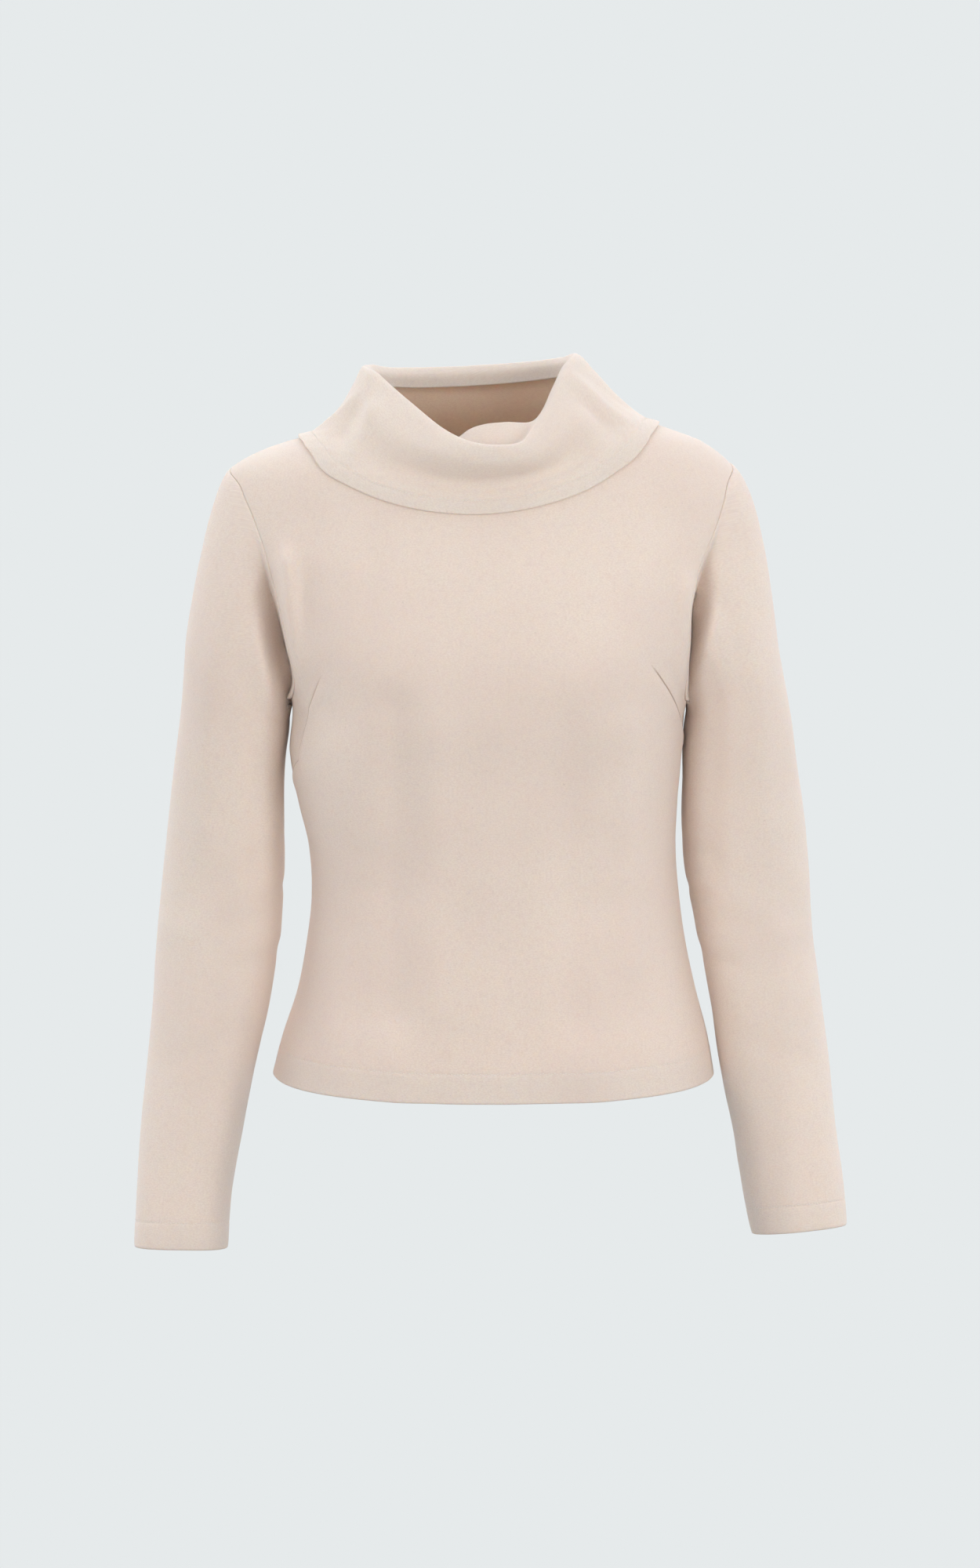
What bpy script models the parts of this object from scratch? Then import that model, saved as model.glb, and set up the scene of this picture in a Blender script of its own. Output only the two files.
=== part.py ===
"""Long-sleeved pullover blouse with a wide draped collar, in the hollow form it takes when worn.

Five cut pieces, each a wall of cloth: front, back, two set-in sleeves and a turned collar.
The origin is on the shoulder line, midway between the shoulders. The front faces -Y, +Z is up
and +X is the wearer's left. Sizes in the tables are millimetres and degrees.
"""
import math

import bpy
import numpy as np

MM = 0.001

WALL = 2.0
SEAM_GAP = 0.4
LAP_GAP = 0.8

HEM_HEIGHT = -507.5
UNDERARM_HEIGHT = -208.0
SHOULDER_HEIGHT_LEFT = -26.0
SHOULDER_HEIGHT_RIGHT = -23.0

CLOTH_COLOUR = (0.78, 0.68, 0.60, 1.0)

# Level rings of the body: the sides as seen from the front, the depths from the side seam
# to centre front and centre back, and how much squarer than an ellipse the ring is.
BODY_SECTIONS = (
    ("height", "left", "right", "front", "back", "square"),
    (-508.0, -173.5, 179.0, 109.0, 116.0, 0.16),
    (-479.0, -166.0, 174.0, 108.0, 112.0, 0.16),
    (-441.0, -153.5, 164.0, 106.5, 104.0, 0.15),
    (-402.0, -146.0, 155.5, 105.5, 94.0, 0.15),
    (-364.0, -141.5, 150.0, 105.0, 87.0, 0.15),
    (-326.0, -143.0, 147.0, 106.5, 87.0, 0.16),
    (-288.0, -151.5, 148.0, 109.0, 92.0, 0.17),
    (-251.0, -158.0, 151.0, 112.0, 98.0, 0.18),
    (-210.0, -155.5, 154.5, 117.0, 103.0, 0.22),
    (-155.0, -174.0, 171.0, 117.0, 107.0, 0.22),
    (-107.0, -192.0, 187.0, 108.0, 107.0, 0.16),
    (-62.0, -208.0, 200.0, 92.0, 100.0, 0.10),
    (-41.0, -208.0, 198.0, 85.0, 93.0, 0.08),
    (-26.0, -200.0, 189.0, 80.0, 88.0, 0.06),
    (-16.7, -184.0, 179.5, 77.0, 84.0, 0.05),
    (-10.6, -169.0, 171.0, 74.0, 81.0, 0.05),
    (-5.0, -151.0, 161.0, 71.0, 78.0, 0.04),
    (0.0, -132.0, 147.0, 68.0, 76.0, 0.04),
    (6.0, -108.0, 130.0, 64.0, 73.0, 0.04),
    (12.0, -84.0, 108.0, 60.0, 70.0, 0.04),
    (18.0, -60.0, 86.0, 56.0, 67.0, 0.04),
)

# Where the armhole seams lie, seen from the front, between underarm and shoulder point, and the
# mean distance of those seams from the body's axis.
ARMHOLE_RADIUS = 110.0
ARMHOLES = (
    ("height", "left_front", "left_back", "right_front", "right_back"),
    (-203.0, -153.6, -154.0, 151.6, 152.0),
    (-190.0, -150.5, -152.5, 151.7, 153.5),
    (-174.0, -152.0, -155.0, 151.7, 155.0),
    (-155.0, -156.0, -159.5, 152.6, 157.5),
    (-130.0, -161.0, -166.0, 153.0, 161.0),
    (-107.0, -167.0, -173.0, 157.5, 167.5),
    (-80.0, -174.4, -181.0, 168.5, 176.0),
    (-62.0, -181.5, -187.5, 176.0, 182.0),
    (-42.0, -191.0, -195.0, 181.8, 187.0),
)

# Rings of each sleeve below its cap: centre, half width, half depth, how far the outer edge is
# raised and how far the front edge is raised, as slopes in degrees.
SLEEVE_SECTIONS_LEFT = (
    ("height", "centre_x", "centre_y", "half_width", "half_depth", "outer_rise", "front_rise"),
    (-196.0, -201.0, 5.0, 38.5, 56.0, 38.0, 0.0),
    (-232.0, -203.0, 8.0, 41.0, 54.0, 16.0, 0.0),
    (-262.0, -206.2, 10.0, 42.8, 52.0, 8.0, 0.0),
    (-300.0, -209.0, 12.0, 45.0, 51.0, 5.0, 0.0),
    (-350.0, -212.0, 13.0, 47.9, 51.0, 4.0, 2.0),
    (-400.0, -216.7, 9.0, 48.1, 49.0, 3.0, 6.0),
    (-450.0, -222.5, 1.0, 46.2, 47.0, 3.0, 9.0),
    (-500.0, -230.7, -8.0, 42.6, 44.0, 3.0, 11.0),
    (-550.0, -237.8, -18.0, 40.4, 42.0, 3.0, 12.0),
    (-600.0, -243.6, -28.0, 37.6, 40.0, 2.0, 13.0),
    (-642.0, -246.0, -37.0, 36.9, 38.0, 1.0, 13.0),
)
SLEEVE_SECTIONS_RIGHT = (
    ("height", "centre_x", "centre_y", "half_width", "half_depth", "outer_rise", "front_rise"),
    (-196.0, 191.6, 5.0, 35.6, 56.0, 38.0, 0.0),
    (-232.0, 195.7, 8.0, 41.4, 54.0, 16.0, 0.0),
    (-262.0, 197.7, 10.0, 44.3, 52.0, 8.0, 0.0),
    (-300.0, 200.4, 12.0, 48.0, 51.0, 5.0, 0.0),
    (-350.0, 205.0, 13.0, 48.6, 51.0, 4.0, 2.0),
    (-400.0, 211.8, 9.0, 44.8, 49.0, 4.0, 6.0),
    (-450.0, 220.3, 1.0, 43.5, 47.0, 5.0, 9.0),
    (-500.0, 227.2, -8.0, 43.0, 44.0, 6.0, 11.0),
    (-550.0, 234.7, -18.0, 40.4, 42.0, 6.0, 12.0),
    (-600.0, 242.2, -28.0, 39.6, 40.0, 6.0, 13.0),
    (-628.0, 246.2, -34.0, 37.6, 38.0, 6.0, 13.0),
)

# Collar sections by the angle at which each leaves the neckline, from centre front. The rim is
# the rolled top edge, low and mid the push out from a straight wall at 35% and 75% of its height,
# and the tip is the free edge inside the roll, with the dip before it.
COLLAR_SECTIONS = (
    ("angle", "rim_x", "rim_y", "rim_z", "low", "mid", "dip_in", "dip_down", "tip_in", "tip_down"),
    (-180.0, -18.0, 50.0, 50.0, -2.0, 2.0, 6.0, 4.0, 6.0, 14.0),
    (-150.0, -58.0, 42.0, 49.0, -2.0, 1.0, 6.0, 4.0, 6.0, 14.0),
    (-120.0, -85.0, 24.0, 50.0, -4.0, -1.0, 6.0, 4.0, 6.0, 14.0),
    (-90.0, -97.5, 0.0, 51.0, -7.0, -3.0, 6.0, 4.0, 6.0, 14.0),
    (-65.0, -88.0, -24.0, 45.0, -5.0, 0.0, 6.0, 4.0, 6.0, 14.0),
    (-42.0, -64.0, -49.0, 26.0, -3.0, 3.0, 6.0, 4.0, 6.0, 14.0),
    (-22.0, -35.0, -76.0, 5.0, -2.0, 4.0, 8.0, 4.0, 12.0, 9.0),
    (-8.0, -15.0, -91.0, -3.5, -2.0, 4.0, 11.0, 6.0, 29.0, -8.0),
    (6.0, 5.0, -93.5, -6.0, -2.0, 4.0, 12.0, 6.0, 31.0, -14.5),
    (18.0, 25.0, -87.0, -3.0, -2.0, 3.5, 10.0, 5.0, 26.0, -13.0),
    (32.0, 43.0, -62.0, 19.0, -3.0, 3.0, 7.0, 5.0, 14.0, 9.0),
    (50.0, 54.0, -38.0, 39.0, -4.0, 1.0, 6.0, 4.0, 6.0, 14.0),
    (70.0, 62.0, -16.0, 54.0, -4.0, 0.0, 6.0, 4.0, 6.0, 14.0),
    (90.0, 67.0, 4.0, 59.5, -3.0, 0.0, 6.0, 4.0, 6.0, 14.0),
    (120.0, 56.0, 28.0, 57.0, -3.0, 0.0, 6.0, 4.0, 6.0, 14.0),
    (150.0, 24.0, 43.0, 53.0, -2.0, 1.0, 6.0, 4.0, 6.0, 14.0),
    (180.0, -18.0, 50.0, 50.0, -2.0, 2.0, 6.0, 4.0, 6.0, 14.0),
)

# Heights of the collar's visible lower edge, by angle from centre front, and how far it laps
# over the neckline.
COLLAR_EDGE = (
    ("angle", "height"),
    (-180.0, -16.0),
    (-165.0, -15.3),
    (-150.0, -12.6),
    (-135.0, -8.8),
    (-120.0, -6.1),
    (-105.0, -4.7),
    (-90.0, -4.3),
    (-75.0, -5.2),
    (-60.0, -8.9),
    (-45.0, -18.0),
    (-35.0, -30.4),
    (-20.0, -49.0),
    (-10.0, -55.6),
    (0.0, -57.0),
    (10.0, -52.6),
    (20.0, -43.0),
    (35.0, -20.8),
    (45.0, -7.2),
    (60.0, 1.4),
    (75.0, 4.9),
    (90.0, 5.8),
    (105.0, 5.0),
    (120.0, 2.2),
    (135.0, -3.0),
    (150.0, -9.6),
    (165.0, -14.6),
    (180.0, -16.0),
)
COLLAR_LAP = 10.0

# Soft folds of the body, as ridges (height above 0) or troughs (below 0) between two places seen
# from the front.
FRONT_FOLDS = (
    ("from_x", "from_z", "to_x", "to_z", "rise", "spread"),
    (-106.0, -84.0, -104.0, -350.0, 2.2, 15.0),
    (-66.0, -90.0, -62.0, -330.0, -1.8, 20.0),
    (106.0, -108.0, 0.0, -330.0, 1.6, 20.0),
    (-78.0, -250.0, -20.0, -262.0, -0.8, 22.0),
    (60.0, -262.0, 118.0, -250.0, -0.8, 20.0),
    (-60.0, -380.0, -72.0, -500.0, 2.5, 20.0),
    (66.0, -390.0, 84.0, -500.0, 2.5, 22.0),
)
BACK_FOLDS = (
    ("from_x", "from_z", "to_x", "to_z", "rise", "spread"),
    (-96.0, -70.0, -70.0, -300.0, 2.2, 18.0),
    (92.0, -80.0, 64.0, -310.0, 2.2, 18.0),
    (-30.0, -318.0, 70.0, -342.0, -2.4, 16.0),
    (-80.0, -368.0, 20.0, -352.0, -2.0, 16.0),
    (-64.0, -400.0, -84.0, -500.0, 3.0, 22.0),
    (58.0, -405.0, 70.0, -500.0, 3.0, 24.0),
)
# Bust darts, as troughs from the side seam to the tip.
BUST_DARTS = (
    ("from_x", "from_z", "to_x", "to_z", "rise", "spread"),
    (-156.0, -266.0, -124.0, -172.0, -1.6, 7.0),
    (152.0, -240.0, 118.0, -165.0, -1.6, 7.0),
)
BUST_ACROSS = 78.0
BUST_HEIGHT = -192.0
BUST_RISE = 11.0
BUST_SPREAD_X = 52.0
BUST_SPREAD_Z = 60.0

# Soft folds of the sleeves, by angle round the arm (0 outside, 90 front, 180 inside, 270 back)
# and by height.
SLEEVE_FOLDS = (
    ("from_angle", "from_z", "to_angle", "to_z", "rise", "spread"),
    (60.0, -60.0, 74.0, -300.0, 2.0, 14.0),
    (112.0, -110.0, 128.0, -330.0, -3.0, 16.0),
    (165.0, -372.0, 95.0, -392.0, -3.0, 12.0),
    (150.0, -335.0, 80.0, -350.0, -2.0, 12.0),
    (300.0, -90.0, 285.0, -330.0, 2.4, 18.0),
    (235.0, -345.0, 300.0, -372.0, -2.4, 14.0),
    (70.0, -400.0, 100.0, -620.0, 1.6, 16.0),
)

# How a sleeve leaves its armhole: the pull of each column's curve at the underarm and at each
# shoulder point, at the seam and where it joins the arm, and its direction there.
CAP_PULL_UNDERARM = 12.0
CAP_PULL_SHOULDER_LEFT = 46.0
CAP_PULL_SHOULDER_RIGHT = 78.0
ARM_PULL_UNDERARM = 26.0
ARM_PULL_SHOULDER_LEFT = 70.0
ARM_PULL_SHOULDER_RIGHT = 55.0
CAP_BACKWARD = 0.20
CAP_RISE_MIDDLE = 0.05
CAP_FALL_SHOULDER = 0.50

# Middle of the neck as the collar's rim goes round it, and the places along a collar section of
# its edge, neckline, low, mid, rim, dip and tip.
NECK_MIDDLE = (-16.0, -14.0)
LOW_SHARE = 0.35
MID_SHARE = 0.75
COLLAR_KNOTS = (0.0, 1.0, 2.6, 4.2, 5.4, 6.2, 7.4)

FRONT_COLUMNS = 30
FRONT_SHOULDER_COLUMNS = 4
BODY_ROWS = 12
BACK_COLUMNS = 26
BACK_SHOULDER_COLUMNS = 4
SLEEVE_COLUMNS = 26
CHEST_ROWS = SLEEVE_COLUMNS // 2
CAP_ROWS = 7
ARM_ROWS = 16
COLLAR_ROWS = 13


def column(table, name):
    """One named column of a table, as an array."""
    place = table[0].index(name)
    return np.array([row[place] for row in table[1:]], dtype=float)


def smooth(knots, values, at):
    """A smooth curve through (knots, values), read at each place: cubics whose slope at a knot
    comes from its two neighbours."""
    knots = np.asarray(knots, dtype=float)
    values = np.asarray(values, dtype=float)
    slope = np.gradient(values, knots)
    at = np.clip(at, knots[0], knots[-1])
    i = np.clip(np.searchsorted(knots, at) - 1, 0, len(knots) - 2)
    step = knots[i + 1] - knots[i]
    u = (at - knots[i]) / step
    return (values[i] * (1 - u) ** 2 * (1 + 2 * u) + values[i + 1] * u ** 2 * (3 - 2 * u)
            + step * (slope[i] * u * (1 - u) ** 2 - slope[i + 1] * u ** 2 * (1 - u)))


def fold_push(folds, across, up):
    """Sum of soft ridges: each is a bell across its line and fades out beyond its two ends."""
    push = np.zeros(np.broadcast(across, up).shape)
    for from_a, from_z, to_a, to_z, rise, spread in folds[1:]:
        line = np.array((to_a - from_a, to_z - from_z))
        length = np.hypot(*line)
        along = ((across - from_a) * line[0] + (up - from_z) * line[1]) / length
        beside = ((across - from_a) * line[1] - (up - from_z) * line[0]) / length
        beyond = np.maximum(np.maximum(-along, along - length), 0.0)
        push += rise * np.exp(-(beside / spread) ** 2 - (beyond / (1.5 * spread)) ** 2)
    return push


def body_point(angle, height):
    """Middle of the body wall at an angle round the body (radians from centre front towards +X)
    and a height: a squared ellipse, pushed out over the bust and by the folds."""
    heights = column(BODY_SECTIONS, "height")
    left = smooth(heights, column(BODY_SECTIONS, "left"), height)
    right = smooth(heights, column(BODY_SECTIONS, "right"), height)
    front = smooth(heights, column(BODY_SECTIONS, "front"), height)
    back = smooth(heights, column(BODY_SECTIONS, "back"), height)
    square = smooth(heights, column(BODY_SECTIONS, "square"), height)
    x = (left + right) / 2 + ((right - left) / 2 - WALL / 2) * np.sin(angle)
    depth = np.where(np.cos(angle) >= 0, front, back) - WALL / 2
    y = -depth * np.cos(angle) * (1 + square * np.sin(angle) ** 2)
    bust = sum(np.exp(-((x - side * BUST_ACROSS) / BUST_SPREAD_X) ** 2
                      - ((height - BUST_HEIGHT) / BUST_SPREAD_Z) ** 2) for side in (-1, 1))
    front_push = (BUST_RISE * bust + fold_push(FRONT_FOLDS, x, height)
                  + fold_push(BUST_DARTS, x, height))
    back_push = fold_push(BACK_FOLDS, x, height)
    facing = np.cos(angle)
    y = y - np.where(facing >= 0, front_push, back_push) * facing
    return np.stack((x, y, np.broadcast_to(height, x.shape)), axis=-1)


def unit(vectors):
    """Vectors scaled to length 1."""
    return vectors / np.linalg.norm(vectors, axis=-1, keepdims=True)


def body_normal(angle, height):
    """Outward direction of the body wall, from its slopes round and up."""
    step_angle = 0.01
    step_height = 0.5
    around = body_point(angle + step_angle, height) - body_point(angle - step_angle, height)
    up = body_point(angle, height + step_height) - body_point(angle, height - step_height)
    return unit(np.cross(around, up))


def edge_angle(height):
    """The angle at which a front panel's edge stops short of the side or shoulder seam."""
    depth = smooth(column(BODY_SECTIONS, "height"), column(BODY_SECTIONS, "front"), height)
    return math.pi / 2 - SEAM_GAP / 2 / depth


def collar_edge_height(angle):
    """Height of the collar's visible lower edge: high on the shoulders, dropping towards centre
    front and centre back."""
    degrees = (np.degrees(angle) + 180.0) % 360.0 - 180.0
    return smooth(column(COLLAR_EDGE, "angle"), column(COLLAR_EDGE, "height"), degrees)


def neckline_height(angle):
    """Height of the body's cut neckline: the collar's lap further up along the cloth."""
    edge = collar_edge_height(angle)
    rise = np.linalg.norm(body_point(angle, edge + 1) - body_point(angle, edge), axis=-1)
    return edge + COLLAR_LAP / rise


def armhole(side, face, share):
    """Angle and height along an armhole seam, from underarm (0) to shoulder point (1).
    side is left or right, face is front or back. Angles count from the panel's own centre."""
    heights = column(ARMHOLES, "height")
    across = column(ARMHOLES, side + "_" + face)
    section_heights = column(BODY_SECTIONS, "height")
    left = smooth(section_heights, column(BODY_SECTIONS, "left"), heights)
    right = smooth(section_heights, column(BODY_SECTIONS, "right"), heights)
    angles = np.arcsin(np.abs(across - (left + right) / 2) / ((right - left) / 2))
    top = SHOULDER_HEIGHT_LEFT if side == "left" else SHOULDER_HEIGHT_RIGHT
    heights = np.concatenate(((UNDERARM_HEIGHT,), heights, (top,)))
    angles = np.concatenate(((edge_angle(UNDERARM_HEIGHT),), angles, (edge_angle(top),)))
    steps = np.hypot(np.diff(heights), ARMHOLE_RADIUS * np.diff(angles))
    knots = np.concatenate(((0.0,), np.cumsum(steps)))
    knots /= knots[-1]
    return smooth(knots, angles, share), smooth(knots, heights, share)


def half_panel(side, face, across, up, shoulder_share):
    """Angle and height over one half of a panel, centre line (across 0) to armhole (across 1),
    underarm (up 0) to neckline and shoulder (up 1): the patch blended from its four edges."""
    across, up = np.meshgrid(across, up)
    sign = -1.0 if side == "left" else 1.0
    ridge_end = 1.0 - shoulder_share
    top = SHOULDER_HEIGHT_LEFT if side == "left" else SHOULDER_HEIGHT_RIGHT

    def top_edge(s):
        turn = math.pi / 2 * np.minimum(s / ridge_end, 1.0)
        body_angle = turn if face == "front" else math.pi - turn
        neck = neckline_height(sign * body_angle)
        share = np.clip((s - ridge_end) / shoulder_share, 0.0, 1.0)
        height = neck + (top - neck) * share
        return np.minimum(turn, edge_angle(height)), height

    def lower_edge(s):
        return edge_angle(UNDERARM_HEIGHT) * s, np.full(s.shape, UNDERARM_HEIGHT)

    centre_top = top_edge(np.zeros(1))[1][0]
    result = []
    for part in (0, 1):
        bottom = lower_edge(across)[part]
        upper = top_edge(across)[part]
        outer = armhole(side, face, up)[part]
        inner = (np.zeros(up.shape), UNDERARM_HEIGHT + (centre_top - UNDERARM_HEIGHT) * up)[part]
        corners = ((1 - across) * (1 - up) * lower_edge(np.zeros(1))[part]
                   + across * (1 - up) * lower_edge(np.ones(1))[part]
                   + (1 - across) * up * top_edge(np.zeros(1))[part]
                   + across * up * top_edge(np.ones(1))[part])
        result.append((1 - up) * bottom + up * upper + (1 - across) * inner + across * outer - corners)
    return sign * result[0], result[1]


def panel(face, columns, shoulder_columns):
    """Grid of points over a whole front or back, hem to shoulders, -X edge to +X edge."""
    half = columns // 2
    across = np.linspace(0.0, 1.0, half + 1)
    up = np.linspace(0.0, 1.0, CHEST_ROWS + 1)
    shoulder_share = shoulder_columns / half
    angle_l, height_l = half_panel("left", face, across, up, shoulder_share)
    angle_r, height_r = half_panel("right", face, across, up, shoulder_share)
    angle = np.concatenate((angle_l[:, ::-1], angle_r[:, 1:]), axis=1)
    height = np.concatenate((height_l[:, ::-1], height_r[:, 1:]), axis=1)
    body_height = np.linspace(HEM_HEIGHT, UNDERARM_HEIGHT, BODY_ROWS + 1)[:-1, None]
    shares = np.linspace(-1.0, 1.0, 2 * half + 1)[None, :]
    angle = np.concatenate((edge_angle(body_height) * shares, angle))
    height = np.concatenate((body_height + 0 * shares, height))
    if face == "back":
        angle = math.pi - angle
    return body_point(angle, height)


def sleeve_ring(table, side_sign, turn, height):
    """Middle of the sleeve wall on a ring of the arm: an ellipse tilted outwards and forwards.
    turn is the angle round the arm, 0 outside and 90 degrees at the front."""
    heights = column(table, "height")[::-1]

    def size(name):
        return smooth(heights, column(table, name)[::-1], height)

    push = fold_push(SLEEVE_FOLDS, np.degrees(turn) % 360.0, height)
    half_width = size("half_width") - WALL / 2 + push
    half_depth = size("half_depth") - WALL / 2 + push
    out = half_width * np.cos(turn)
    forward = half_depth * np.sin(turn)
    x = size("centre_x") + side_sign * out
    y = size("centre_y") - forward
    z = (height + out * np.tan(np.radians(size("outer_rise")))
         + forward * np.tan(np.radians(size("front_rise"))))
    return np.stack((x, y, z), axis=-1)


def sleeve(side, columns):
    """Grid of points over a sleeve, armhole seam to cuff, closed round the arm. Each column
    leaves the armhole along the shoulder's slope and turns down into the arm."""
    sign = -1.0 if side == "left" else 1.0
    table = SLEEVE_SECTIONS_LEFT if side == "left" else SLEEVE_SECTIONS_RIGHT
    share = np.arange(columns) / columns
    turn = 2 * math.pi * share
    in_front = share <= 0.5
    along_front = 1 - 2 * share
    along_back = 2 * share - 1
    front_angle, front_height = armhole(side, "front", np.clip(along_front, 0, 1))
    back_angle, back_height = armhole(side, "back", np.clip(along_back, 0, 1))
    angle = sign * np.where(in_front, front_angle, math.pi - back_angle)
    height = np.where(in_front, front_height, back_height)
    seam = body_point(angle, height)
    seam_line = unit(np.roll(seam, -1, axis=0) - np.roll(seam, 1, axis=0))
    across_seam = unit(np.cross(body_normal(angle, height), seam_line)) * sign
    top_weight = ((1 + np.cos(turn)) / 2)[:, None]
    start = unit(np.stack((sign * np.ones(columns), CAP_BACKWARD * np.sin(turn),
                           CAP_RISE_MIDDLE - CAP_FALL_SHOULDER * np.cos(turn)), axis=-1))
    bend = np.arccos(np.clip(np.sum(start * across_seam, axis=-1), -1, 1))
    clear = SEAM_GAP + WALL * np.tan(bend / 2)
    seam = seam + start * clear[:, None]
    cap_pull = CAP_PULL_SHOULDER_LEFT if side == "left" else CAP_PULL_SHOULDER_RIGHT
    arm_pull = ARM_PULL_SHOULDER_LEFT if side == "left" else ARM_PULL_SHOULDER_RIGHT
    start = start * (CAP_PULL_UNDERARM + (cap_pull - CAP_PULL_UNDERARM) * top_weight)
    first_height = table[1][0]
    first = sleeve_ring(table, sign, turn, first_height)
    below = sleeve_ring(table, sign, turn, first_height - 1.0)
    end = unit(below - first) * (ARM_PULL_UNDERARM + (arm_pull - ARM_PULL_UNDERARM) * top_weight)
    v = np.linspace(0.0, 1.0, CAP_ROWS + 1)[:, None, None]
    cap = (seam * (1 - v) ** 2 * (1 + 2 * v) + first * v ** 2 * (3 - 2 * v)
           + start * v * (1 - v) ** 2 - end * v ** 2 * (1 - v))
    arm_heights = np.linspace(first_height, table[-1][0], ARM_ROWS + 1)[1:, None]
    arm = sleeve_ring(table, sign, turn[None, :], arm_heights)
    return np.concatenate((cap, arm))


def collar_angles():
    """Angles of the collar's columns, in degrees: the same as those of the panels' necklines."""
    front_steps = FRONT_COLUMNS // 2 - FRONT_SHOULDER_COLUMNS
    back_steps = BACK_COLUMNS // 2 - BACK_SHOULDER_COLUMNS
    front = np.linspace(-90.0, 90.0, 2 * front_steps + 1)
    back = np.linspace(90.0, 270.0, 2 * back_steps + 1)[1:-1]
    return np.concatenate((front, back))


def collar(degrees, rows):
    """Grid of points over the collar, closed round the neck: the lap on the body, the wall up to
    the rolled rim, the dip inside it and the free tip."""
    angle = np.radians(degrees)
    degrees = (degrees + 180.0) % 360.0 - 180.0
    sections = {name: smooth(column(COLLAR_SECTIONS, "angle"), column(COLLAR_SECTIONS, name), degrees)
                for name in COLLAR_SECTIONS[0][1:]}
    off = WALL + LAP_GAP
    edge_height = collar_edge_height(angle)
    neck_height = neckline_height(angle)
    edge = body_point(angle, edge_height) + off * body_normal(angle, edge_height)
    neck = body_point(angle, neck_height) + off * body_normal(angle, neck_height)
    rim = np.stack((sections["rim_x"], sections["rim_y"], sections["rim_z"]), axis=-1)
    inward = unit((np.array(NECK_MIDDLE + (0.0,)) - rim) * (1, 1, 0))
    up = np.array((0.0, 0.0, 1.0))

    def wall_point(share, push):
        return neck + (rim - neck) * share - inward * push[:, None]

    low = wall_point(LOW_SHARE, sections["low"])
    mid = wall_point(MID_SHARE, sections["mid"])
    dip = rim + inward * sections["dip_in"][:, None] - up * sections["dip_down"][:, None]
    tip = rim + inward * sections["tip_in"][:, None] - up * sections["tip_down"][:, None]
    controls = np.stack((edge, neck, low, mid, rim, dip, tip))
    knots = np.array(COLLAR_KNOTS)
    places = np.linspace(0.0, knots[-1], rows + 1)
    slope = np.gradient(controls, knots, axis=0)
    i = np.clip(np.searchsorted(knots, places) - 1, 0, len(knots) - 2)
    step = (knots[i + 1] - knots[i])[:, None, None]
    u = (places - knots[i])[:, None, None] / step
    return (controls[i] * (1 - u) ** 2 * (1 + 2 * u) + controls[i + 1] * u ** 2 * (3 - 2 * u)
            + step * (slope[i] * u * (1 - u) ** 2 - slope[i + 1] * u ** 2 * (1 - u)))


def cloth_material(name):
    """Matt knitted wool cloth."""
    material = bpy.data.materials.new(name)
    material.use_nodes = True
    shader = material.node_tree.nodes["Principled BSDF"]
    shader.inputs["Base Color"].default_value = CLOTH_COLOUR
    shader.inputs["Roughness"].default_value = 0.85
    shader.inputs["Metallic"].default_value = 0.0
    material.diffuse_color = CLOTH_COLOUR
    return material


def cloth_piece(name, points, closed, flip, collection, parent):
    """A named wall of cloth: an open grid of points, given its thickness evenly to both sides."""
    rows, columns = points.shape[:2]
    index = np.arange(rows * columns).reshape(rows, columns)
    right = np.roll(index, -1, axis=1) if closed else index[:, 1:]
    left = index if closed else index[:, :-1]
    faces = np.stack((left[:-1], right[:-1], right[1:], left[1:]), axis=-1).reshape(-1, 4)
    if flip:
        faces = faces[:, ::-1]
    mesh = bpy.data.meshes.new(name)
    mesh.from_pydata((points.reshape(-1, 3) * MM).tolist(), [], faces.tolist())
    mesh.materials.append(cloth_material(name + "_cloth"))
    mesh.shade_smooth()
    piece = bpy.data.objects.new(name, mesh)
    piece.parent = parent
    collection.objects.link(piece)
    wall = piece.modifiers.new("wall", "SOLIDIFY")
    wall.thickness = WALL * MM
    wall.offset = 0.0
    wall.use_even_offset = False
    return piece


def main():
    for old in list(bpy.data.objects):
        bpy.data.objects.remove(old, do_unlink=True)
    collection = bpy.data.collections.new("blouse")
    bpy.context.scene.collection.children.link(collection)
    root = bpy.data.objects.new("blouse_root", None)
    collection.objects.link(root)

    front = panel("front", FRONT_COLUMNS, FRONT_SHOULDER_COLUMNS)
    cloth_piece("front", front, False, False, collection, root)
    back = panel("back", BACK_COLUMNS, BACK_SHOULDER_COLUMNS)
    cloth_piece("back", back, False, True, collection, root)
    cloth_piece("sleeve_left", sleeve("right", SLEEVE_COLUMNS), True, False, collection, root)
    cloth_piece("sleeve_right", sleeve("left", SLEEVE_COLUMNS), True, True, collection, root)
    cloth_piece("collar", collar(collar_angles(), COLLAR_ROWS), True, False, collection, root)


main()
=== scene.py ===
"""Looks of the long-sleeved blouse: thin knitted cloth over its frame, with its folds, turned
hems, darts, sewing thread and a pale studio. Sizes in the tables are millimetres and degrees.
Left and right are as seen from the front, so left is -X, but the sleeves are named by the
wearer's side."""
import math

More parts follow.
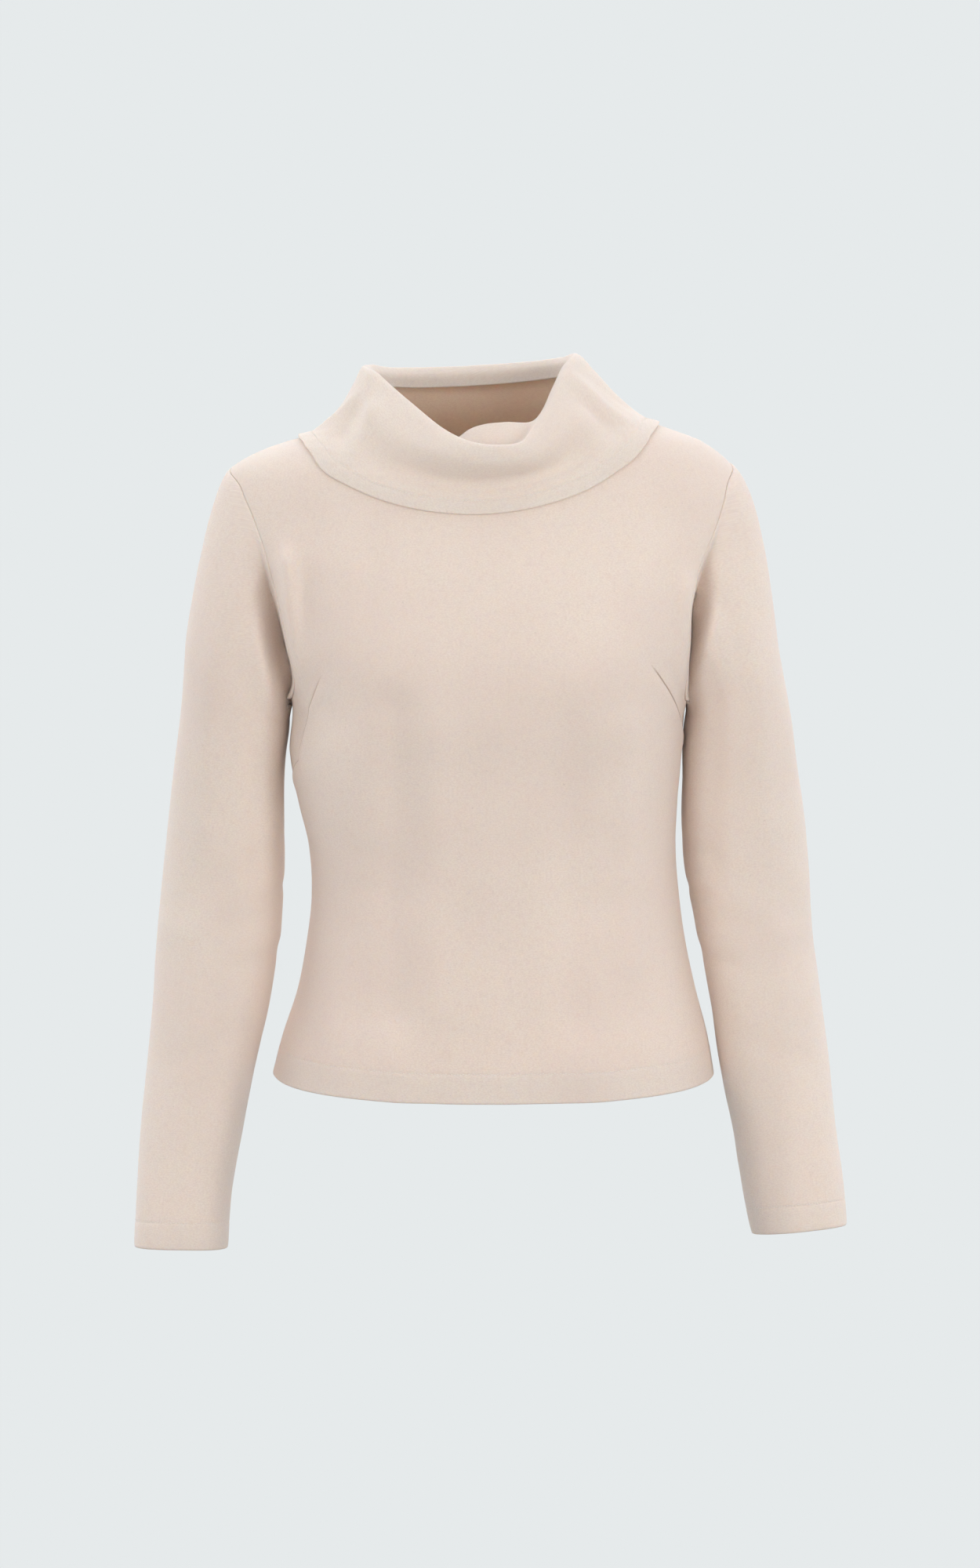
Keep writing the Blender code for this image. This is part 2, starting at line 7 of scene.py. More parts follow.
import bpy
import numpy as np
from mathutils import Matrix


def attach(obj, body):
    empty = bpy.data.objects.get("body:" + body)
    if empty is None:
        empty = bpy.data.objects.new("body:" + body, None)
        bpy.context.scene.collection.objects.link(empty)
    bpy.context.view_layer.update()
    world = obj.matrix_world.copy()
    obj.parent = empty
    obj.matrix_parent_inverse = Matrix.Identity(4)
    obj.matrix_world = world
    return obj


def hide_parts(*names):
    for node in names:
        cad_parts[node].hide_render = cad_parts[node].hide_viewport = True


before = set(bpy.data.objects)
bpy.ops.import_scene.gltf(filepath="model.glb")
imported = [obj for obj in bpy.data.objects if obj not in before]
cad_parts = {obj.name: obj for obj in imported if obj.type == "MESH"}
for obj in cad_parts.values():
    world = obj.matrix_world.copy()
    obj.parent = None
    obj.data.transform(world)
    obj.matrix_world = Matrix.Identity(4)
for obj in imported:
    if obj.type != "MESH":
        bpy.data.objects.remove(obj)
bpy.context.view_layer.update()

bl_info = {
    "name": "Draped collar blouse",
    "version": (1, 0, 0),
    "blender": (4, 5, 0),
    "location": "3D View > Sidebar > Blouse",
    "description": "Knitted cloth, turned hems, darts, sewing and studio of a blouse",
    "category": "Add Mesh",
}


BODY = "root"
MM = 0.001

SIDE_SIGN = {"left": -1.0, "right": 1.0}

# Thickness of the frame's walls, the gap left at a seam and the gap under the collar's lap.
WALL = 2.0
SEAM_GAP = 0.2
LAP_GAP = 0.8

HEM_HEIGHT = -507.5
UNDERARM_HEIGHT = -208.0
SHOULDER_HEIGHT = {"left": -26.0, "right": -23.0}

# Level rings of the body: the sides as seen from the front, the depths from the side seam
# to centre front and centre back, and how much squarer than an ellipse the ring is.
BODY_SECTIONS = (
    ("height", "left", "right", "front", "back", "square"),
    (-508.0, -173.5, 179.0, 109.0, 116.0, 0.16),
    (-479.0, -166.0, 174.0, 108.0, 112.0, 0.16),
    (-441.0, -153.5, 164.0, 106.5, 104.0, 0.15),
    (-402.0, -146.0, 155.5, 105.5, 94.0, 0.15),
    (-364.0, -141.5, 150.0, 105.0, 87.0, 0.15),
    (-326.0, -143.0, 147.0, 106.5, 87.0, 0.16),
    (-288.0, -151.5, 148.0, 109.0, 92.0, 0.17),
    (-251.0, -158.0, 151.0, 112.0, 98.0, 0.18),
    (-210.0, -155.5, 154.5, 117.0, 103.0, 0.22),
    (-155.0, -174.0, 171.0, 117.0, 107.0, 0.22),
    (-107.0, -192.0, 187.0, 108.0, 107.0, 0.16),
    (-62.0, -208.0, 200.0, 92.0, 100.0, 0.10),
    (-41.0, -208.0, 198.0, 85.0, 93.0, 0.08),
    (-26.0, -200.0, 189.0, 80.0, 88.0, 0.06),
    (-16.7, -184.0, 179.5, 77.0, 84.0, 0.05),
    (-10.6, -169.0, 171.0, 74.0, 81.0, 0.05),
    (-5.0, -151.0, 161.0, 71.0, 78.0, 0.04),
    (0.0, -132.0, 147.0, 68.0, 76.0, 0.04),
    (6.0, -108.0, 130.0, 64.0, 73.0, 0.04),
    (12.0, -84.0, 108.0, 60.0, 70.0, 0.04),
    (18.0, -60.0, 86.0, 56.0, 67.0, 0.04),
)

# Where the armhole seams lie, seen from the front, between underarm and shoulder point, and the
# mean distance of those seams from the body's axis.
ARMHOLE_RADIUS = 110.0
ARMHOLES = (
    ("height", "left_front", "left_back", "right_front", "right_back"),
    (-203.0, -153.6, -154.0, 151.6, 152.0),
    (-190.0, -150.5, -152.5, 151.7, 153.5),
    (-174.0, -152.0, -155.0, 151.7, 155.0),
    (-155.0, -156.0, -159.5, 152.6, 157.5),
    (-130.0, -161.0, -166.0, 153.0, 161.0),
    (-107.0, -167.0, -173.0, 157.5, 167.5),
    (-80.0, -174.4, -181.0, 168.5, 176.0),
    (-62.0, -181.5, -187.5, 176.0, 182.0),
    (-42.0, -191.0, -195.0, 181.8, 187.0),
)

# Rings of each sleeve below its cap: centre, half width, half depth, how far the outer edge is
# raised and how far the front edge is raised, as slopes in degrees.
SLEEVE_SECTIONS = {
    "left": (
        ("height", "centre_x", "centre_y", "half_width", "half_depth", "outer_rise", "front_rise"),
        (-196.0, -201.0, 5.0, 38.5, 56.0, 38.0, 0.0),
        (-232.0, -203.0, 8.0, 41.0, 54.0, 16.0, 0.0),
        (-262.0, -206.2, 10.0, 42.8, 52.0, 8.0, 0.0),
        (-300.0, -209.0, 12.0, 45.0, 51.0, 5.0, 0.0),
        (-350.0, -212.0, 13.0, 47.9, 51.0, 4.0, 2.0),
        (-400.0, -216.7, 9.0, 48.1, 49.0, 3.0, 6.0),
        (-450.0, -222.5, 1.0, 46.2, 47.0, 3.0, 9.0),
        (-500.0, -230.7, -8.0, 42.6, 44.0, 3.0, 11.0),
        (-550.0, -237.8, -18.0, 40.4, 42.0, 3.0, 12.0),
        (-600.0, -243.6, -28.0, 37.6, 40.0, 2.0, 13.0),
        (-642.0, -246.0, -37.0, 36.9, 38.0, 1.0, 13.0),
    ),
    "right": (
        ("height", "centre_x", "centre_y", "half_width", "half_depth", "outer_rise", "front_rise"),
        (-196.0, 191.6, 5.0, 35.6, 56.0, 38.0, 0.0),
        (-232.0, 195.7, 8.0, 41.4, 54.0, 16.0, 0.0),
        (-262.0, 197.7, 10.0, 44.3, 52.0, 8.0, 0.0),
        (-300.0, 200.4, 12.0, 48.0, 51.0, 5.0, 0.0),
        (-350.0, 205.0, 13.0, 48.6, 51.0, 4.0, 2.0),
        (-400.0, 211.8, 9.0, 44.8, 49.0, 4.0, 6.0),
        (-450.0, 220.3, 1.0, 43.5, 47.0, 5.0, 9.0),
        (-500.0, 227.2, -8.0, 43.0, 44.0, 6.0, 11.0),
        (-550.0, 234.7, -18.0, 40.4, 42.0, 6.0, 12.0),
        (-600.0, 242.2, -28.0, 39.6, 40.0, 6.0, 13.0),
        (-628.0, 246.2, -34.0, 37.6, 38.0, 6.0, 13.0),
    ),
}

# Collar sections by the angle at which each leaves the neckline, from centre front. The rim is
# the rolled top edge, low and mid the push out from a straight wall at 35% and 75% of its height,
# and the tip is the free edge inside the roll, with the dip before it.
COLLAR_SECTIONS = (
    ("angle", "rim_x", "rim_y", "rim_z", "low", "mid", "dip_in", "dip_down", "tip_in", "tip_down"),
    (-180.0, -18.0, 50.0, 50.0, -2.0, 2.0, 6.0, 4.0, 6.0, 14.0),
    (-150.0, -58.0, 42.0, 49.0, -2.0, 1.0, 6.0, 4.0, 6.0, 14.0),
    (-120.0, -85.0, 24.0, 50.0, -4.0, -1.0, 6.0, 4.0, 6.0, 14.0),
    (-90.0, -97.5, 0.0, 51.0, -7.0, -3.0, 6.0, 4.0, 6.0, 14.0),
    (-65.0, -88.0, -24.0, 45.0, -5.0, 0.0, 6.0, 4.0, 6.0, 14.0),
    (-42.0, -64.0, -49.0, 26.0, -3.0, 3.0, 6.0, 4.0, 6.0, 14.0),
    (-22.0, -35.0, -76.0, 5.0, -2.0, 4.0, 8.0, 4.0, 12.0, 9.0),
    (-8.0, -15.0, -91.0, -3.5, -2.0, 4.0, 11.0, 6.0, 29.0, -8.0),
    (6.0, 5.0, -93.5, -6.0, -2.0, 4.0, 12.0, 6.0, 31.0, -14.5),
    (18.0, 25.0, -87.0, -3.0, -2.0, 3.5, 10.0, 5.0, 26.0, -13.0),
    (32.0, 43.0, -62.0, 19.0, -3.0, 3.0, 7.0, 5.0, 14.0, 9.0),
    (50.0, 54.0, -38.0, 39.0, -4.0, 1.0, 6.0, 4.0, 6.0, 14.0),
    (70.0, 62.0, -16.0, 54.0, -4.0, 0.0, 6.0, 4.0, 6.0, 14.0),
    (90.0, 67.0, 4.0, 59.5, -3.0, 0.0, 6.0, 4.0, 6.0, 14.0),
    (120.0, 56.0, 28.0, 57.0, -3.0, 0.0, 6.0, 4.0, 6.0, 14.0),
    (150.0, 24.0, 43.0, 53.0, -2.0, 1.0, 6.0, 4.0, 6.0, 14.0),
    (180.0, -18.0, 50.0, 50.0, -2.0, 2.0, 6.0, 4.0, 6.0, 14.0),
)

# Heights of the collar's visible lower edge, by angle from centre front, and how far it laps
# over the neckline.
COLLAR_EDGE = (
    ("angle", "height"),
    (-180.0, -16.0),
    (-165.0, -15.3),
    (-150.0, -12.6),
    (-135.0, -8.8),
    (-120.0, -6.1),
    (-105.0, -4.7),
    (-90.0, -4.3),
    (-75.0, -5.2),
    (-60.0, -8.9),
    (-45.0, -18.0),
    (-35.0, -30.4),
    (-20.0, -49.0),
    (-10.0, -55.6),
    (0.0, -57.0),
    (10.0, -52.6),
    (20.0, -43.0),
    (35.0, -20.8),
    (45.0, -7.2),
    (60.0, 1.4),
    (75.0, 4.9),
    (90.0, 5.8),
    (105.0, 5.0),
    (120.0, 2.2),
    (135.0, -3.0),
    (150.0, -9.6),
    (165.0, -14.6),
    (180.0, -16.0),
)
COLLAR_LAP = 10.0

# Soft folds of the body, as ridges (rise above 0) or troughs (below 0) between two places seen
# from the front. The first of each table are in the frame's walls too, the later ones here alone.
FRONT_FOLDS = (
    ("from_x", "from_z", "to_x", "to_z", "rise", "spread"),
    (-106.0, -84.0, -104.0, -350.0, 2.2, 15.0),
    (-66.0, -90.0, -62.0, -330.0, -1.8, 20.0),
    (106.0, -108.0, 0.0, -330.0, 1.6, 20.0),
    (-78.0, -250.0, -20.0, -262.0, -0.8, 22.0),
    (60.0, -262.0, 118.0, -250.0, -0.8, 20.0),
    (-60.0, -380.0, -72.0, -500.0, 2.5, 20.0),
    (66.0, -390.0, 84.0, -500.0, 2.5, 22.0),
    (-146.0, -204.0, -155.0, -96.0, 13.0, 7.5),
    (-166.0, -112.0, -161.0, -158.0, -5.0, 6.0),
    (-136.0, -60.0, -139.0, -130.0, -1.6, 11.0),
    (-92.0, -90.0, -98.0, -185.0, -2.8, 15.0),
    (147.0, -204.0, 150.0, -116.0, 11.0, 7.5),
    (134.0, -110.0, 128.0, -160.0, -1.4, 9.0),
    (112.0, -112.0, 112.0, -160.0, 1.2, 9.0),
    (-124.0, -240.0, -124.0, -450.0, 6.0, 18.0),
    (-154.5, -92.0, -148.5, -194.0, 3.0, 4.0),
    (154.0, -128.0, 151.5, -214.0, 2.2, 4.0),
    (-72.0, -206.0, -74.0, -440.0, -5.2, 14.0),
    (58.0, -216.0, 64.0, -440.0, -5.0, 16.0),
    (108.0, -222.0, 112.0, -400.0, 5.0, 13.0),
    (-40.0, -216.0, -42.0, -430.0, 2.6, 13.0),
    (4.0, -170.0, -8.0, -420.0, 1.6, 20.0),
    (-132.0, -300.0, -96.0, -318.0, -0.8, 9.0),
    (104.0, -322.0, 140.0, -306.0, -0.8, 8.0),
    (-128.0, -352.0, -88.0, -344.0, -0.7, 8.0),
    (96.0, -356.0, 138.0, -362.0, -0.8, 9.0),
    (-20.0, -400.0, -30.0, -492.0, 0.9, 13.0),
    (24.0, -420.0, 30.0, -498.0, -0.8, 12.0),
)
BACK_FOLDS = (
    ("from_x", "from_z", "to_x", "to_z", "rise", "spread"),
    (-96.0, -70.0, -70.0, -300.0, 2.2, 18.0),
    (92.0, -80.0, 64.0, -310.0, 2.2, 18.0),
    (-30.0, -318.0, 70.0, -342.0, -2.4, 16.0),
    (-80.0, -368.0, 20.0, -352.0, -2.0, 16.0),
    (-64.0, -400.0, -84.0, -500.0, 3.0, 22.0),
    (58.0, -405.0, 70.0, -500.0, 3.0, 24.0),
    (-146.0, -130.0, -96.0, -190.0, -1.0, 9.0),
    (140.0, -120.0, 90.0, -178.0, -1.0, 9.0),
    (-20.0, -80.0, -8.0, -210.0, -0.9, 14.0),
    (24.0, -300.0, 96.0, -312.0, -1.0, 9.0),
    (-100.0, -336.0, -52.0, -330.0, -1.1, 8.0),
    (20.0, -372.0, 88.0, -384.0, -1.0, 10.0),
    (-8.0, -410.0, -4.0, -496.0, -1.0, 14.0),
)
# Bust darts, as troughs from the side seam to the tip.
BUST_DARTS = (
    ("from_x", "from_z", "to_x", "to_z", "rise", "spread"),
    (-156.0, -266.0, -124.0, -172.0, -1.6, 7.0),
    (152.0, -240.0, 118.0, -165.0, -1.6, 7.0),
)

# The fullness over the bust: how far to each side, how high and how full it is, and how far it
# spreads across, above and below.
BUST_ACROSS = 78.0
BUST_HEIGHT = -192.0
BUST_RISE = 11.0
BUST_SPREAD_X = 52.0
BUST_SPREAD_ABOVE = 60.0
BUST_SPREAD_BELOW = 92.0

# The sewn line of each dart, from its tip down to the side seam, and how strongly the painted
# shade along its crease shows on each side.
DART_LINES = {
    "left": (
        ("x", "z"),
        (-127.0, -179.0),
        (-131.0, -187.0),
        (-139.0, -207.0),
        (-143.0, -224.0),
        (-148.5, -251.0),
        (-156.0, -268.0),
    ),
    "right": (
        ("x", "z"),
        (120.6, -170.0),
        (133.0, -187.0),
        (141.6, -202.0),
        (148.0, -220.0),
        (155.0, -236.0),
    ),
}
DART_SHADE_STRENGTH = {"left": 0.55, "right": 1.0}
DART_RADIUS = 118.0
DART_FADE = 14.0
DART_REACH = 30.0

# The cloth beside a dart: the trough on its line, the lip towards the centre and the hollow
# towards the side.
DART_RELIEF = (
    ("away", "rise", "width"),
    (0.0, -0.8, 1.6),
    (5.0, 0.8, 5.0),
    (-7.0, -1.1, 7.0),
)

# Soft folds of the sleeves, by angle round the arm (0 outside, 90 front, 180 inside, 270 back)
# and by height.
SLEEVE_FOLDS = (
    ("from_angle", "from_z", "to_angle", "to_z", "rise", "spread"),
    (60.0, -60.0, 74.0, -300.0, 2.0, 14.0),
    (112.0, -110.0, 128.0, -330.0, -3.0, 16.0),
    (165.0, -372.0, 95.0, -392.0, -0.9, 12.0),
    (150.0, -335.0, 80.0, -350.0, -0.6, 12.0),
    (300.0, -90.0, 285.0, -330.0, 2.4, 18.0),
    (235.0, -345.0, 300.0, -372.0, -1.8, 14.0),
    (70.0, -400.0, 100.0, -620.0, 1.6, 16.0),
    (176.0, -318.0, 128.0, -326.0, -0.9, 6.0),
    (190.0, -356.0, 140.0, -362.0, -1.1, 6.0),
    (182.0, -408.0, 120.0, -418.0, -1.0, 7.0),
    (30.0, -392.0, 350.0, -404.0, 0.7, 12.0),
    (250.0, -400.0, 318.0, -428.0, -0.9, 9.0),
    (20.0, -240.0, 8.0, -420.0, 0.8, 14.0),
    (140.0, -470.0, 60.0, -500.0, -0.7, 10.0),
    (210.0, -520.0, 300.0, -545.0, -0.8, 10.0),
)

# How much squarer than an ellipse a sleeve's rings are beside the body and outside.
SLEEVE_SQUARE_IN = {"left": 0.42, "right": 0.15}
SLEEVE_SQUARE_OUT = 0.15

# How a sleeve leaves its armhole: the pull of each column's curve at the underarm and at each
# shoulder point, at the seam and where it joins the arm, and its direction there.
CAP_PULL_UNDERARM = 12.0
CAP_PULL_SHOULDER = {"left": 46.0, "right": 78.0}
ARM_PULL_UNDERARM = 26.0
ARM_PULL_SHOULDER = {"left": 70.0, "right": 55.0}
CAP_BACKWARD = 0.20
CAP_RISE_MIDDLE = 0.05
CAP_FALL_SHOULDER = 0.50

# Where the front of each sleeve turns inwards beside the body: the line's height and distance
# from the middle, how softly the cloth turns there and how steeply it goes back past the line.
# It goes back no further than the middle depth, starts this far from the armhole seam and ends
# at this angle round the arm, fading over the last stretch.
INNER_TURN = {
    "left": (
        ("height", "across", "soft", "steep"),
        (-40.0, 178.0, 12.0, 0.0),
        (-90.0, 178.5, 9.0, 0.7),
        (-112.0, 178.5, 6.0, 1.9),
        (-130.0, 178.0, 5.0, 3.0),
        (-146.0, 176.6, 4.0, 3.8),
        (-162.0, 174.6, 3.0, 4.4),
        (-182.0, 171.6, 3.0, 4.0),
        (-202.0, 168.0, 3.0, 4.0),
        (-219.0, 165.2, 3.0, 3.6),
        (-243.0, 161.7, 3.0, 2.4),
        (-270.0, 160.6, 5.0, 0.8),
        (-310.0, 160.0, 6.0, 0.0),
    ),
    "right": (
        ("height", "across", "soft", "steep"),
        (-40.0, 173.0, 12.0, 0.0),
        (-80.0, 173.0, 9.0, 0.9),
        (-112.0, 172.5, 6.0, 2.4),
        (-130.0, 171.0, 5.0, 3.8),
        (-146.0, 168.0, 4.0, 4.8),
        (-162.0, 163.8, 4.0, 5.0),
        (-182.0, 160.6, 5.0, 4.4),
        (-202.0, 157.6, 7.0, 3.0),
        (-224.0, 155.0, 8.0, 1.4),
        (-250.0, 154.2, 10.0, 0.7),
        (-290.0, 153.6, 10.0, 0.0),
    ),
}
INNER_TURN_MIDDLE = 4.0
INNER_TURN_LEAST = 0.01
INNER_TURN_START = {"left": 3.6, "right": 2.6}
INNER_TURN_END = 176.0
INNER_TURN_FADE = 16.0

# How much fuller each sleeve is where it meets the side seam under the arm: how far it stands
# out, at what height, and over what height and angle.
UNDERARM_FULL = {"left": (4.6, -220.0, 22.0, 30.0), "right": (2.2, -232.0, 36.0, 30.0)}

# Middle of the neck as the collar's rim goes round it, and the places along a collar section of
# its edge, neckline, low, mid, rim, dip and tip.
NECK_MIDDLE = (-16.0, -14.0)
LOW_SHARE = 0.35
MID_SHARE = 0.75
COLLAR_KNOTS = (0.0, 1.0, 2.6, 4.2, 5.4, 6.2, 7.4)

# Creases of the collar, by angle from centre front and by place along its section, where one
# place counts for as much as these degrees.
DEGREES_PER_PLACE = 12.0
COLLAR_CREASES = (
    ("from_angle", "from_place", "to_angle", "to_place", "rise", "spread"),
    (-44.0, 1.9, -16.0, 2.3, -1.6, 8.0),
    (-16.0, 2.3, 16.0, 2.5, -1.4, 9.0),
    (16.0, 2.5, 38.0, 2.1, -1.8, 8.0),
    (-30.0, 3.6, -8.0, 4.3, 1.0, 8.0),
    (-8.0, 4.3, 18.0, 4.2, 1.0, 8.0),
    (-63.0, 5.0, -45.0, 3.9, 2.6, 6.0),
    (-45.0, 3.9, -36.0, 1.9, 3.2, 5.5),
    (-64.0, 3.6, -77.0, 1.6, 2.2, 6.0),
    (-57.0, 3.0, -51.0, 1.8, -2.2, 6.5),
    (56.0, 4.4, 53.0, 2.0, 2.6, 6.5),
    (36.0, 3.4, 33.0, 1.9, 2.2, 5.5),
    (22.0, 3.6, 25.0, 2.2, -1.6, 6.5),
    (45.0, 3.8, 43.0, 1.8, -2.0, 6.0),
    (72.0, 3.6, 80.0, 1.6, -1.2, 8.0),
    (-112.0, 4.8, -122.0, 1.8, 1.8, 7.0),
    (-134.0, 4.2, -142.0, 1.6, -1.2, 9.0),
    (106.0, 4.6, 126.0, 1.8, 2.0, 8.0),
    (138.0, 4.2, 148.0, 1.6, -1.3, 8.0),
    (178.0, 3.8, 170.0, 1.6, 1.0, 10.0),
)

CREASE_LINES = COLLAR_CREASES[:1] + tuple(
    (start, low * DEGREES_PER_PLACE, end, high * DEGREES_PER_PLACE, rise, spread)
    for start, low, end, high, rise, spread in COLLAR_CREASES[1:])

# The soft roll across the collar's front: a swell below the rim and a hollow above the neckline.
COLLAR_ROLL_ANGLE = 46.0
COLLAR_ROLL = (
    ("place", "rise", "spread"),
    (3.6, 1.0, 1.1),
    (2.0, -1.2, 0.7),
)

# The collar's lap: creases start past it and end before the tip, each over a stretch, and its
# two layers swell and ripple a little.
CREASES_START = 1.1
CREASES_START_OVER = 0.8
CREASES_END = 7.0
CREASES_END_OVER = 1.2
LAP_SWELL = 0.3
LAP_SWELL_PLACE = 0.45
LAP_SWELL_SPREAD = 0.35
LAP_RIPPLE = 0.18
LAP_RIPPLE_LENGTH = 17.0
LAP_RIPPLE_START = 0.7
LAP_RIPPLE_PLACE = 0.9
LAP_RIPPLE_SPREAD = 0.9

# The cloth's edges: how a seam rounds in and how deep it turns, how a hem, a cuff and the
# collar's two edges are turned up, and how far a sleeve faces as the body does at its seam.
SEAM_ROUND = 1.1
SEAM_TURN = 1.6
HEM_THICKNESS = 3.0
HEM_DEPTH = 22.0
CUFF_DEPTH = 19.5
PAST_STITCHES = 1.0
HEM_TURN_STEPS = 6
HEM_TURN_FROM = 0.2
HEM_SEAM_TURN = 1.3
SEAM_FACING_SPREAD = 5.0
COLLAR_THICKNESS = 0.9
COLLAR_TURN = 2.0
COLLAR_LAP_TURN = 8.5
COLLAR_TIP_TURN = 3.0

# What sewing does to the cloth: the trough pulled in by stitches, how much and how fast its depth
# varies along the row, and the swell of a turned edge up to its stitches.
STITCH_DIP = 0.28
STITCH_DIP_WIDTH = 1.1
STITCH_PULLS = ((0.25, 2 * math.pi / 6.3), (0.2, 1 / 4.7))
HEM_SWELL = 0.16
HEM_SWELL_STEEP = 1.5
CUFF_SWELL = 0.2
CUFF_SWELL_STEEP = 1.2
CUFF_SWELL_OVER = 4.0

# One stitch: its sides, how flat it lies, how far it stands on the cloth, how far and how much
# it strays, the zigzag of a hem's stitches, and how far the curve's direction is taken over.
STITCH_SIDES = 6
STITCH_FLAT = 0.8
STITCH_LIFT = 0.10
STITCH_WOBBLE = 0.15
STITCH_LEAN = 0.25
HEM_ZIGZAG = 0.3
WAY_REACH = 0.4

# Gentle unevenness of hanging cloth: its wave lengths, and for each piece a seed and a size. It
# is calm near a seam, and where a sleeve's first and last columns meet.
WAVE_LENGTHS = (92.0, 71.0, 58.0, 47.0, 38.0, 31.0, 24.0)
UNEVEN_PANELS = {"front": (11, 0.28), "back": (23, 0.28)}
UNEVEN_SLEEVES = {"left": (37, 0.25), "right": (41, 0.25)}
CALM_AT_SEAM = 12.0
CALM_AT_JOIN = 30.0
ARM_RADIUS = 45.0
CUFF_RADIUS = 40.0

# Grid rows near a hem and a cuff, as distances from the edge, and where the even rows of the arm
# end above the cuff.
HEM_ROWS = (0.0, 0.8, 1.8, 3.2, 5.2, 8.0, 11.0, 14.0, 17.0, 19.3, 20.6, 21.3, 22.0, 22.7, 23.4,
            24.7, 27.0, 30.0)
CUFF_ROWS = (0.0, 0.8, 1.8, 3.2, 5.2, 8.0, 11.0, 14.0, 16.6, 18.2, 18.9, 19.5, 20.1, 20.8, 22.2,
             24.6)
ABOVE_CUFF = 28.0

# Stretches of evenly spaced grid lines: start, end, count, and a smaller quick count. Across a
# half panel, up the body in millimetres, up the chest and over the collar's section.
ACROSS_STRETCHES = {
    "front": ((0.0, 0.55, 34, 16), (0.55, 0.98, 58, 26), (0.98, 0.994, 3, 3), (0.994, 1.0, 4, 4)),
    "back": ((0.0, 0.98, 74, 30), (0.98, 0.994, 3, 3), (0.994, 1.0, 4, 4)),
}
BODY_STRETCHES = {
    "front": ((30.0, 235.0, 56, 26), (235.0, 299.5, 38, 16)),
    "back": ((30.0, 299.5, 84, 36),),
}
CHEST_STRETCHES = {
    "front": ((0.0, 0.25, 26, 10), (0.25, 0.98, 40, 18), (0.98, 0.99, 2, 2), (0.99, 1.0, 5, 5)),
    "back": ((0.0, 0.98, 60, 24), (0.98, 0.99, 2, 2), (0.99, 1.0, 5, 5)),
}
COLLAR_STRETCHES = ((0.0, 0.3, 3, 3), (0.3, 0.84, 4, 4), (0.84, 1.16, 5, 5), (1.16, 7.2, 84, 40),
                    (7.2, 7.4, 3, 3))

# The share of a half panel's top edge that is the shoulder seam.
SHOULDER_SHARE = {"front": 4 / 15, "back": 4 / 13}

# Places near the seam on a sleeve's cap, where the even ones start, and counts in full and smaller
# quick counts, down the cap and the arm and round the sleeve and the collar.
CAP_START = (0.0, 0.004, 0.009, 0.015, 0.023, 0.034)
CAP_REST_START = 0.05
CAP_STEPS = (44, 20)
ARM_STEPS = (138, 70)
SLEEVE_COLUMNS = (150, 78)
COLLAR_COLUMNS = (288, 140)

# The stage, in metres: the floor, how the room's light changes from front to back and with
# height, the lights and the camera, which looks down by some degrees.
FLOOR_RADIUS = 6.0
FLOOR_HEIGHT = -0.98
FLOOR_SIDES = 64
ROOM_DEPTH = (-0.35, 0.3)
ROOM_HEIGHT = (-0.1, 0.9, 0.84, 2.1)
ROOM_COLOUR = (0.975, 0.98, 1.0, 1.0)
LIGHTS = (
    ("name", "place", "target", "size", "power", "share", "colour"),
    ("key", (-1.45, -2.2, 0.05), (0.0, 0.0, -0.25), 1.6, "key", 1.0, (1.0, 0.98, 0.96)),
    ("fill", (1.45, -2.2, 0.05), (0.0, 0.0, -0.25), 1.6, "fill", 1.0, (1.0, 0.98, 0.96)),
    ("side_right", (1.7, 0.35, -0.1), (0.2, 0.0, -0.35), 0.9, "rim", 0.3, (1.0, 0.99, 0.98)),
    ("side_left", (-1.7, 0.35, 0.1), (-0.2, 0.0, -0.3), 0.9, "rim", 0.5, (1.0, 0.99, 0.98)),
)
CAMERA_SENSOR = 36.0
CAMERA_LENS = 73.4
CAMERA_PLACE = (0.0, -2.5, 0.10)
CAMERA_DOWN = 8.553


def column(table, name):
    """One named column of a table, as an array."""
    place = table[0].index(name)
    return np.array([row[place] for row in table[1:]], dtype=float)


def cubic(first, last, leave, arrive, step, u):
    """The cubic from first to last that leaves and arrives at given slopes: u goes from 0 to 1
    and step is the length that the slopes count over."""
    return (first * (1 - u) ** 2 * (1 + 2 * u) + last * u ** 2 * (3 - 2 * u)
            + step * (leave * u * (1 - u) ** 2 - arrive * u ** 2 * (1 - u)))


def smooth(knots, values, at):
    """A smooth curve through (knots, values), read at each place: cubics whose slope at a knot
    comes from its two neighbours."""
    slope = np.gradient(values, knots)
    at = np.clip(at, knots[0], knots[-1])
    i = np.clip(np.searchsorted(knots, at) - 1, 0, len(knots) - 2)
    step = knots[i + 1] - knots[i]
    return cubic(values[i], values[i + 1], slope[i], slope[i + 1], step, (at - knots[i]) / step)


def read(table, name, at, along="height"):
    """One named column of a table as a smooth curve along another, read at each place."""
    knots = column(table, along)
    values = column(table, name)
    if knots[0] > knots[-1]:
        knots = knots[::-1]
        values = values[::-1]
    return smooth(knots, values, at)


def unit(vectors):
    """Vectors scaled to length 1."""
    return vectors / np.linalg.norm(vectors, axis=-1, keepdims=True)


def fold_push(folds, across, up):
    """Sum of soft ridges: each is a bell across its line and fades out beyond its two ends."""
    push = np.zeros(np.broadcast(across, up).shape)
    for from_a, from_z, to_a, to_z, rise, spread in folds[1:]:
        line = np.array((to_a - from_a, to_z - from_z))
        length = np.hypot(*line)
        along = ((across - from_a) * line[0] + (up - from_z) * line[1]) / length
        beside = ((across - from_a) * line[1] - (up - from_z) * line[0]) / length
        beyond = np.maximum(np.maximum(-along, along - length), 0.0)
        push += rise * np.exp(-(beside / spread) ** 2 - (beyond / (1.5 * spread)) ** 2)
    return push


